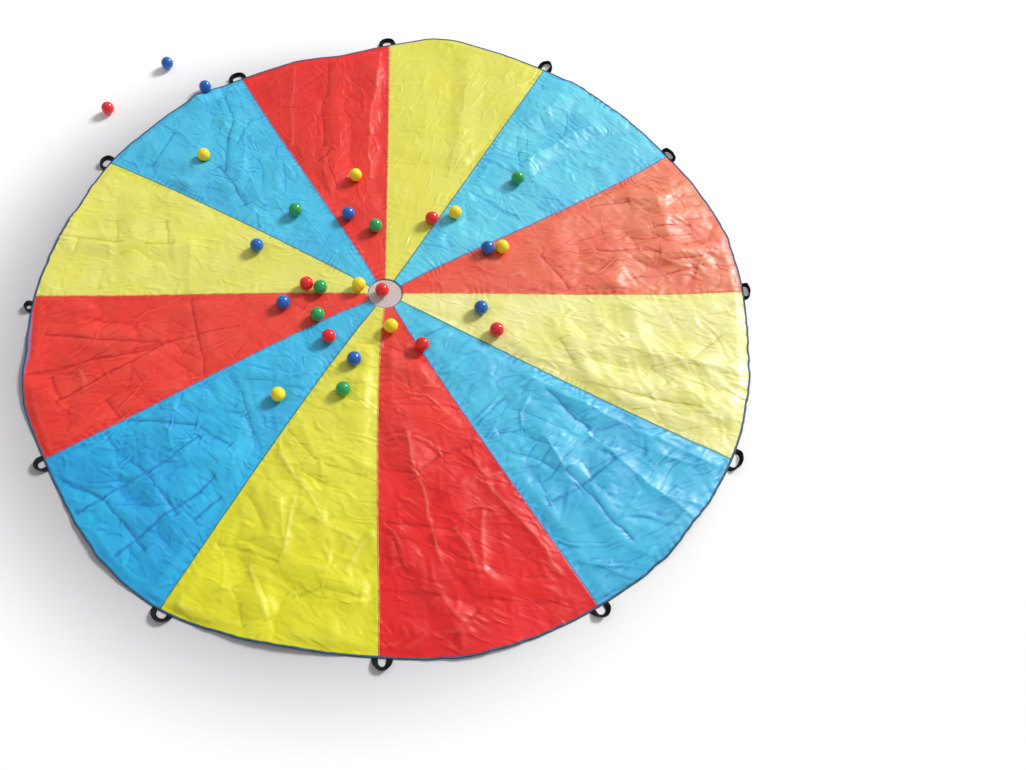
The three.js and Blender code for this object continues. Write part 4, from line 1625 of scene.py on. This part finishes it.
@dataclass
class Edging:
    """The tape bound round the rim and the tape ring round the vent."""

    plan: Plan
    cloth: Cloth
    effects: Effects
    width: float = 0.0085  # the rim tape's width
    thickness: float = 0.003  # its thickness
    inset: float = 0.004  # how far inside the rim the cloth's height is read for it
    rows: int = 1800  # how many sections are carried round the rim
    ring_outer: float = 0.0785  # the vent ring's outer radius
    ring_width: float = 0.0065  # its tape's width
    ring_thickness: float = 0.0024  # its tape's thickness
    ring_height: float = 0.0021  # the height of its tape's middle
    ring_rows: int = 256  # how many sections are carried round it
    corner: float = 3.2  # how square both sections are
    corners: int = 14  # how many points they have

    def rim_height(self, turn: Array) -> Array:
        """The height of the cloth's edge.

        Args:
            turn: Turns round the rim.

        Returns:
            The height at each turn.
        """
        height = np.zeros(turn.shape)
        inner = self.plan.rim(turn) - self.inset
        share = np.ones(turn.shape)
        for gore in range(GORES):
            first, last = self.plan.seam(gore, share), self.plan.seam(gore + 1, share)
            placed = first + (turn - first) % FULL_TURN
            across = (placed - first) / (last - first)
            found, _, _ = self.cloth.height(gore, turn, inner, np.clip(across, 0, 1))
            height = np.where(across < 1, found, height)
        return height

    @staticmethod
    def ripple(turn: Array, waves: tuple[tuple[float, int, float], ...]) -> Array:
        """The sum of sines round a turn, each by its height, how many fit in, and its start."""
        return sum(height * np.sin(turn * count + start) for height, count, start in waves)

    @staticmethod
    def carry(name: str, turn: Array, radius: Array, rise: Array, across: Array, run: float) -> Piece:
        """Makes a tape of a section carried once round.

        Args:
            name: The tape's name.
            turn: Each section's turn.
            radius: Each point's radius.
            rise: Each point's height.
            across: How far across the tape each of the section's points is.
            run: The radius at which the tape's length is measured.

        Returns:
            The tape.
        """
        points = clock_point(np.broadcast_to(turn, radius.shape), radius, rise)
        cloth = [np.broadcast_to(across, radius.shape), np.broadcast_to(turn * run, radius.shape)]
        faced = np.stack(cloth, axis=-1)[:, ::-1]
        return make_grid(name, [Grid(points[:, ::-1], faced, loop_rows=True, loop_columns=True)])

    def build_binding(self) -> Piece:
        """Builds the rim's tape: its rounded section carried round the rim at the cloth's height.

        Returns:
            The tape.
        """
        turn = np.linspace(0, FULL_TURN, self.rows, endpoint=False)[:, None]
        section = tape_section(self.width, self.thickness, self.corner, self.corners)
        across, up = section[None, :, 0], section[None, :, 1]
        swelling = 1 + 40 * self.ripple(turn, ((0.0005, 211, 0), (0.0004, 97, 1)))
        radius = self.plan.rim(turn) - self.width / 2 + across * swelling
        height = self.rim_height(turn) - self.cloth.floor_gap + self.thickness / 2
        return self.carry("rim_tape", turn, radius, height + up, across, 1.52)

    def build_ring(self) -> Piece:
        """Builds the vent's ring: the same kind of section carried round a circle, puckered a little.

        Returns:
            The ring.
        """
        turn = np.linspace(0, FULL_TURN, self.ring_rows, endpoint=False)[:, None]
        section = tape_section(self.ring_width, self.ring_thickness, self.corner, self.corners)
        across, up = section[None, :, 0], section[None, :, 1]
        wander = self.ripple(turn, ((0.0005, 19, 0), (0.0004, 31, 2)))
        radius = self.ring_outer - self.ring_width / 2 + across + wander
        rise = self.ring_height + up + self.ripple(turn, ((0.0002, 23, 0),))
        return self.carry("vent_tape", turn, radius, rise, across, self.ring_outer)

    def build(self) -> None:
        """Builds and dresses both tapes."""
        colours = (linear(18, 72, 112), linear(8, 38, 62), linear(88, 140, 176))
        finish = TapeFinish("blue_tape", *colours, stitch_row=-0.0012).material(self.effects)
        for piece, node in ((self.build_binding(), "rim_binding"), (self.build_ring(), "vent_ring")):
            piece.data.materials.append(finish)
            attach(piece, "canopy")
            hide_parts(node)
            LOG.info("edging %s", piece.name)


@dataclass
class Vent:
    """The vent's mesh: square openings between flat crossing yarns, cut round."""

    effects: Effects
    radius: float = 0.0745  # the mesh's radius
    pitch: float = 0.004  # the yarns' pitch
    yarn: float = 0.0013  # their width
    height: float = 0.0014  # how high the yarns lie
    weave: float = 0.0003  # how far they rise and fall where they cross
    thickness: float = 0.0005  # their thickness

    def build(self) -> Piece:
        """Builds the mesh from a lattice whose lines are the yarns' two edges.

        Returns:
            The mesh.
        """
        count = int(self.radius / self.pitch) + 1
        centres = np.arange(-count, count + 1) * self.pitch
        lines = np.sort(np.concatenate([centres - self.yarn / 2, centres + self.yarn / 2]))
        x, y = np.meshgrid(lines, lines, indexing="ij")
        sag = self.weave * np.cos(FULL_TURN * x / self.pitch) * np.cos(FULL_TURN * y / self.pitch)
        points = np.stack([x, y, self.height + sag], axis=-1)
        faces = Grid(points, points[..., :2]).faces()
        cells = len(lines) - 1
        row, column = np.divmod(np.arange(len(faces)), cells)
        opening = (row % 2 == 1) & (column % 2 == 1)
        flat = points.reshape(-1, 3)
        far = np.hypot(flat[:, 0], flat[:, 1])[faces].max(axis=1)
        kept = faces[~opening & (far < self.radius)]
        used, renumbered = np.unique(kept, return_inverse=True)
        piece = make_mesh("vent_mesh", flat[used], renumbered.reshape(kept.shape)[:, ::-1])
        piece.data.polygons.foreach_set("use_smooth", np.zeros(len(kept), dtype=bool))
        thicken(piece, self.thickness)
        piece.data.materials.append(NetFinish().material(self.effects))
        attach(piece, "canopy")
        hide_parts("vent_net")
        LOG.info("vent %s", piece.name)
        return piece


# Each hand loop's span and reach as shares of the usual ones, and how far its tip is turned on edge, as
# a share of a quarter turn, from 12 o'clock on.
LOOP_SHARES = (
    (0.95, 0.75, 0.6),
    (0.8, 1.1, 1),
    (0.95, 0.5, 1),
    (0.95, 0.5, 1),
    (1.15, 0.8, 0.7),
    (0.85, 0.9, 0.6),
    (0.8, 0.95, 0.5),
    (0.9, 0.85, 0.5),
    (0.8, 0.9, 0.6),
    (0.65, 0.6, 0.8),
    (0.95, 0.8, 0.8),
    (1, 0.75, 0.7),
)


class Hinge(NamedTuple):
    """A hand loop's hinge: its place, the way along the rim, and the way outwards."""

    place: Array
    along: Array
    outward: Array

    @classmethod
    def from_joint(cls, joint: dict) -> "Hinge":
        """Reads a hinge from its joint in the frame."""
        axis = np.array(joint["axis"], dtype=float)
        return cls(np.array(joint["pos_m"], dtype=float), axis, np.array([-axis[1], axis[0], 0.0]))


@dataclass
class HandLoops:
    """The webbing hand loops round the rim, each on its own hinge, and the ends sewn to the rim."""

    frame: dict
    effects: Effects
    span: float = 0.092  # the usual span along the rim
    reach: float = 0.044  # how far a usual loop reaches out
    width: float = 0.022  # the webbing's width
    thickness: float = 0.0016  # its thickness
    hinge_height: float = 0.003  # the height of the hinges
    twist_share: float = 0.85  # how far along half a strap it is fully tipped, as a sine
    corner: float = 5.0  # how square the webbing's section is
    corners: int = 20  # how many points it has
    rows: int = 72  # how many sections make a strap
    end_trim: float = 0.001  # how much narrower the sewn ends are
    # how far the sewn ends run outwards and inwards of the hinge
    end_reach: tuple[float, float] = (0.0012, -0.007)
    end_rows: int = 8  # how many sections make each
    end_sink: float = 0.0013  # how far below the hinge their middle lies

    def strap(self, seam: int) -> Grid:
        """One loop's strap, about its hinge: x along the rim, y outwards and z up.

        The strap's middle follows half an ellipse. It lies flat at its ends and tips up towards the tip,
        eased by the sine of the ellipse's angle, and its lower edge comes down to the floor.

        Args:
            seam: The loop's number, from 0 at 12 o'clock.

        Returns:
            The strap's surface, without its two end faces.
        """
        span_share, reach_share, edge_share = LOOP_SHARES[seam]
        half = (self.span * span_share - self.width) / 2
        tip = 0.5 * math.pi * edge_share
        overhang = (self.thickness * math.sin(tip) + self.width * math.cos(tip)) / 2
        depth = self.reach * reach_share - overhang
        turn = np.linspace(0, math.pi, self.rows)
        zero = np.zeros(turn.shape)
        forward = np.stack([half * np.sin(turn), depth * np.cos(turn), zero], axis=1)
        forward /= np.linalg.norm(forward, axis=1)[:, None]
        sideways = np.cross(UP, forward)
        settled = smooth(np.sin(turn) / self.twist_share)
        rise, flat = np.sin(tip * settled), np.cos(tip * settled)
        rest = (self.width * rise + self.thickness * flat) / 2 - self.hinge_height
        raised = (self.hinge_height - self.thickness / 2) * (1 - settled)
        centre = np.stack([-half * np.cos(turn), depth * np.sin(turn), rest + raised], axis=1)
        across = sideways * flat[:, None] + UP * rise[:, None]
        through = np.cross(forward, across)
        section = tape_section(self.width, self.thickness, self.corner, self.corners)
        over, up = section[None, :, :1], section[None, :, 1:]
        points = centre[:, None] + across[:, None] * over + through[:, None] * up
        along = np.concatenate([[0], np.cumsum(np.linalg.norm(np.diff(centre, axis=0), axis=1))])
        cloth = np.stack(np.broadcast_arrays(section[None, :, 0], along[:, None]), axis=-1)
        return Grid(points, cloth, loop_columns=True)

    def build_loop(self, seam: int, hinge: Hinge, material: Material) -> Piece:
        """Builds one loop in place.

        Args:
            seam: The loop's number, from 0 at 12 o'clock.
            hinge: Its hinge.
            material: The webbing.

        Returns:
            The loop.
        """
        hour = seam or GORES
        grid = self.strap(seam)
        grid.points = grid.points @ np.stack([hinge.along, hinge.outward, UP]) + hinge.place
        piece = make_grid(f"webbing_loop_{hour:02d}", [grid])
        mend(piece)
        piece.data.materials.append(material)
        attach(piece, f"hand_loop_{hour:02d}")
        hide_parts(f"handle_{hour:02d}")
        return piece

    def build_ends(self, seam: int, hinge: Hinge, material: Material) -> Piece:
        """Builds the two ends of a loop's webbing, which are sewn into the rim's tape.

        Args:
            seam: The loop's number, from 0 at 12 o'clock.
            hinge: Its hinge.
            material: The webbing.

        Returns:
            Both ends as one piece.
        """
        half = (self.span * LOOP_SHARES[seam][0] - self.width) / 2
        section = tape_section(self.width - self.end_trim, self.thickness, self.corner, self.corners)
        over, up = section[None, :, :1], section[None, :, 1:]
        back = np.linspace(*self.end_reach, self.end_rows)[:, None]
        cloth = np.stack(np.broadcast_arrays(section[None, :, 0], -back), axis=-1)
        grids = []
        for side in (-half, half):
            along, outward = hinge.along * (side + over), hinge.outward * back[..., None]
            points = hinge.place + along + outward + UP * (up - self.end_sink)
            grids.append(Grid(points, cloth, loop_columns=True))
        piece = make_grid(f"sewn_ends_{seam or GORES:02d}", grids)
        mend(piece)
        piece.data.materials.append(material)
        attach(piece, "canopy")
        return piece

    def build(self) -> None:
        """Builds every loop and its sewn ends."""
        webbing = WebbingFinish().material(self.effects)
        joints = {joint["name"]: joint for joint in self.frame["joints"]}
        for seam in range(GORES):
            hinge = Hinge.from_joint(joints[f"hand_loop_{seam or GORES:02d}_swing"])
            LOG.info("loop %s", self.build_loop(seam, hinge, webbing).name)
            LOG.info("ends %s", self.build_ends(seam, hinge, webbing).name)


@dataclass
class Balls:
    """The loose balls: two moulded halves that meet in a fine groove."""

    frame: dict
    effects: Effects
    radius: float = BALL_RADIUS  # the balls' radius
    clear: float = 0.0002  # how far the made surface stays inside it
    groove: float = 0.0003  # the groove's depth
    groove_reach: float = 0.0006  # half its width
    rows: int = 61  # how many rows of points run from pole to pole
    columns: int = 64  # how many points are in each row
    tilts: tuple[float, float] = (0.4, 1.2)  # the least tilt and what chance adds to it, in radians
    weld: float = 1e-6  # how near points at the poles are joined

    def finishes(self) -> dict[str, Material]:
        """The four plastics.

        Returns:
            The material for each colour's name.
        """
        rows = (
            (Dye.RED, (242, 34, 42), (206, 14, 26)),
            (Dye.BLUE, (32, 102, 190), (18, 72, 152)),
            (Dye.GREEN, (36, 168, 88), (20, 130, 62)),
            (Dye.YELLOW, (255, 226, 34), (246, 198, 16)),
        )
        made = {}
        for dye, colour, deep in rows:
            finish = BallFinish(f"{dye.value}_plastic", linear(*colour), linear(*deep))
            made[dye.value] = finish.material(self.effects)
        return made

    def shape(self, turn: float, tilt: float) -> Grid:
        """A sphere with a groove round its middle.

        The groove is a narrow bell curve of the height above the middle, taken off the radius.

        Args:
            turn: How far it is turned about Z, in radians.
            tilt: How far it is tilted about X before that.

        Returns:
            The sphere about its own middle.
        """
        down = np.linspace(0, math.pi, self.rows)[:, None]
        around = np.linspace(0, FULL_TURN, self.columns, endpoint=False)[None, :]
        groove = self.groove * np.exp(-((np.cos(down) * self.radius / self.groove_reach) ** 2))
        radius = self.radius - self.clear - groove
        out, up = radius * np.sin(down), radius * np.cos(down)
        points = np.stack([out * np.cos(around), out * np.sin(around), up * np.ones(around.shape)], axis=-1)
        cos_tilt, sin_tilt, cos_turn, sin_turn = (f(a) for a in (tilt, turn) for f in (math.cos, math.sin))
        lean = np.array([[1, 0, 0], [0, cos_tilt, -sin_tilt], [0, sin_tilt, cos_tilt]])
        spin = np.array([[cos_turn, -sin_turn, 0], [sin_turn, cos_turn, 0], [0, 0, 1]])
        cloth = np.stack(np.broadcast_arrays(around, down), axis=-1)
        return Grid(points @ (spin @ lean).T, cloth, loop_columns=True)

    def build(self) -> None:
        """Builds every ball where its node is."""
        plastics = self.finishes()
        nodes = sorted(name for name in self.frame["nodes"] if name.startswith("ball_"))
        order = np.arange(len(nodes))
        least, more = self.tilts
        turns, tilts = FULL_TURN * chance(order, order, 5), least + more * chance(order, order, 6)
        for number, node in enumerate(nodes):
            grid = self.shape(float(turns[number]), float(tilts[number]))
            grid.points = grid.points + np.array(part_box(node)).mean(axis=0)
            piece = make_grid(f"toss_{node}", [grid])
            mend(piece, self.weld)
            colour = node.split("_")[1]
            piece.data.materials.append(plastics[colour])
            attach(piece, f"free_{node}")
            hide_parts(node)
        LOG.info("balls %d", len(nodes))


class LampKind(Enum):
    """A lamp's kind, as Blender names it."""

    SUN = "SUN"
    SQUARE = "AREA"


@dataclass(frozen=True)
class Lamp:
    """A lamp that faces the vent."""

    name: str
    kind: LampKind
    place: Place  # where it hangs
    size: float  # the side of a square one, or the width of a sun in radians
    power: float  # how strong it is

    def hang(self) -> None:
        """Hangs the lamp."""
        data = bpy.data.lights.new(self.name, self.kind.value)
        if self.kind is LampKind.SUN:
            data.angle = self.size
        else:
            data.size = self.size
        data.energy = self.power
        lamp = bpy.data.objects.new(self.name, data)
        lamp.location = self.place
        x, y, z = self.place
        lamp.rotation_euler = (math.atan2(math.hypot(x, y), z), 0.0, math.atan2(x, -y))
        bpy.context.scene.collection.objects.link(lamp)


@dataclass
class Stage:
    """The floor, the lights and the camera."""

    elevation: float = math.radians(61.65)  # how far the camera looks down, in radians
    distance: float = 3.363  # how far it is from the target
    target: Place = (0.0, -0.442, 0.0)  # what it looks at
    focal_pixels: float = 835.8  # its focal length, in pixels
    picture_width: float = 1026.0  # the picture's width, in pixels
    principal_x: float = 385.0  # where its axis meets the picture, in pixels from the left
    sensor: float = 36.0  # its sensor's width, in millimetres
    clips: tuple[float, float] = (0.05, 60.0)  # how near and how far it sees
    floor_edge: float = 14.0  # half the floor's side
    floor_drop: float = 0.0006  # how far under the canopy the floor's surface is
    shade_shift: Place = (0.22, 0.1, 0.0)  # how far the painted shadow's middle is left and in front of the vent
    shade_reach: tuple[float, float] = (1.2, 1.8)  # where it starts to fade and where it ends
    world_light: float = 0.46  # the strength of the light from all round
    # a broad sun, and a soft lamp that puts the sheen on the cloth
    lamps: tuple[Lamp, ...] = (
        Lamp("key", LampKind.SUN, (3.4, 2.5, 2.8), math.radians(15), 3.2),
        Lamp("sheen", LampKind.SQUARE, (2.0, 3.2, 3.2), 2.0, 14.0),
    )

    def camera(self) -> None:
        """Sets the camera where the photograph was taken from."""
        data = bpy.data.cameras.new("camera")
        data.sensor_width = self.sensor
        data.lens = self.sensor * self.focal_pixels / self.picture_width
        data.shift_x = (self.picture_width / 2 - self.principal_x) / self.picture_width
        data.clip_start, data.clip_end = self.clips
        camera = bpy.data.objects.new("camera", data)
        camera.location = (
            self.target[0],
            self.target[1] - self.distance * math.cos(self.elevation),
            self.target[2] + self.distance * math.sin(self.elevation),
        )
        camera.rotation_euler = (math.pi / 2 - self.elevation, 0.0, 0.0)
        bpy.context.scene.collection.objects.link(camera)
        bpy.context.scene.camera = camera

    def floor(self) -> None:
        """Lays a plain pale floor, with a painted shadow that greys it towards the lower left of the canopy.
        """
        edge = self.floor_edge
        corners = np.array([[-edge, -edge], [edge, -edge], [edge, edge], [-edge, edge]])
        points = np.column_stack([corners, np.full(4, -self.floor_drop)])
        piece = make_mesh("floor", points, np.array([[0, 1, 2, 3]]), corners)
        material, w, shader = start_material("pale_floor")
        where = w.add("ShaderNodeTexCoord").outputs["Object"]
        moved = w.add("ShaderNodeVectorMath", {0: where, 1: self.shade_shift}, operation="ADD")
        away = w.add("ShaderNodeVectorMath", {0: moved.outputs[0]}, operation="LENGTH").outputs["Value"]
        # painted shadow: grey towards the canopy's lower left, fading to the floor's white
        shade = w.ramp(away, *self.shade_reach, 1.0, 0.0)
        tint = w.mix(shade, (0.97, 0.97, 0.97, 1.0), linear(184, 182, 186))
        w.feed(shader.inputs["Base Color"], tint)
        shader.inputs["Roughness"].default_value = 0.9
        shader.inputs["Specular IOR Level"].default_value = 0.1
        piece.data.materials.append(material)

    def world(self) -> None:
        """Lights everything from all round with white, and shows white behind the floor."""
        world = bpy.data.worlds.new("studio")
        world.use_nodes = True
        tree = world.node_tree
        tree.nodes.clear()
        w = Wiring(tree)
        white = (1.0, 1.0, 1.0, 1.0)
        seen = w.add("ShaderNodeLightPath").outputs["Is Camera Ray"]
        light = w.add("ShaderNodeBackground", {"Color": white, "Strength": self.world_light})
        shown = w.add("ShaderNodeBackground", {"Color": white, "Strength": 1.0})
        both = w.add("ShaderNodeMixShader", {0: seen, 1: light.outputs[0], 2: shown.outputs[0]})
        leave = w.add("ShaderNodeOutputWorld", {"Surface": both.outputs[0]})
        leave.is_active_output = True
        bpy.context.scene.world = world

    def build(self) -> None:
        """Sets the camera, floor and lights, and plain view settings."""
        self.camera()
        self.floor()
        self.world()
        for lamp in self.lamps:
            lamp.hang()
        bpy.context.scene.view_settings.view_transform = "Standard"


def main() -> None:
    """Builds the stage and every sub-assembly in turn."""
    logging.basicConfig(level=logging.INFO, format="%(name)s %(message)s")
    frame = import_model()
    Stage().build()
    plan = Plan.from_frame(frame)
    nodes = sorted(node for node in frame["nodes"] if node.startswith("ball_"))
    balls = [(np.array(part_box(node)).mean(axis=0), BALL_RADIUS) for node in nodes]
    hinges = np.array([j["pos_m"][:2] for j in frame["joints"] if j["name"].startswith("hand_loop_")])
    cloth = Cloth(plan, balls, hinges)
    effects = Effects()
    Canopy(plan, cloth, effects).build()
    Edging(plan, cloth, effects).build()
    Vent(effects).build()
    HandLoops(frame, effects).build()
    Balls(frame, effects).build()


if __name__ == "__main__":
    main()
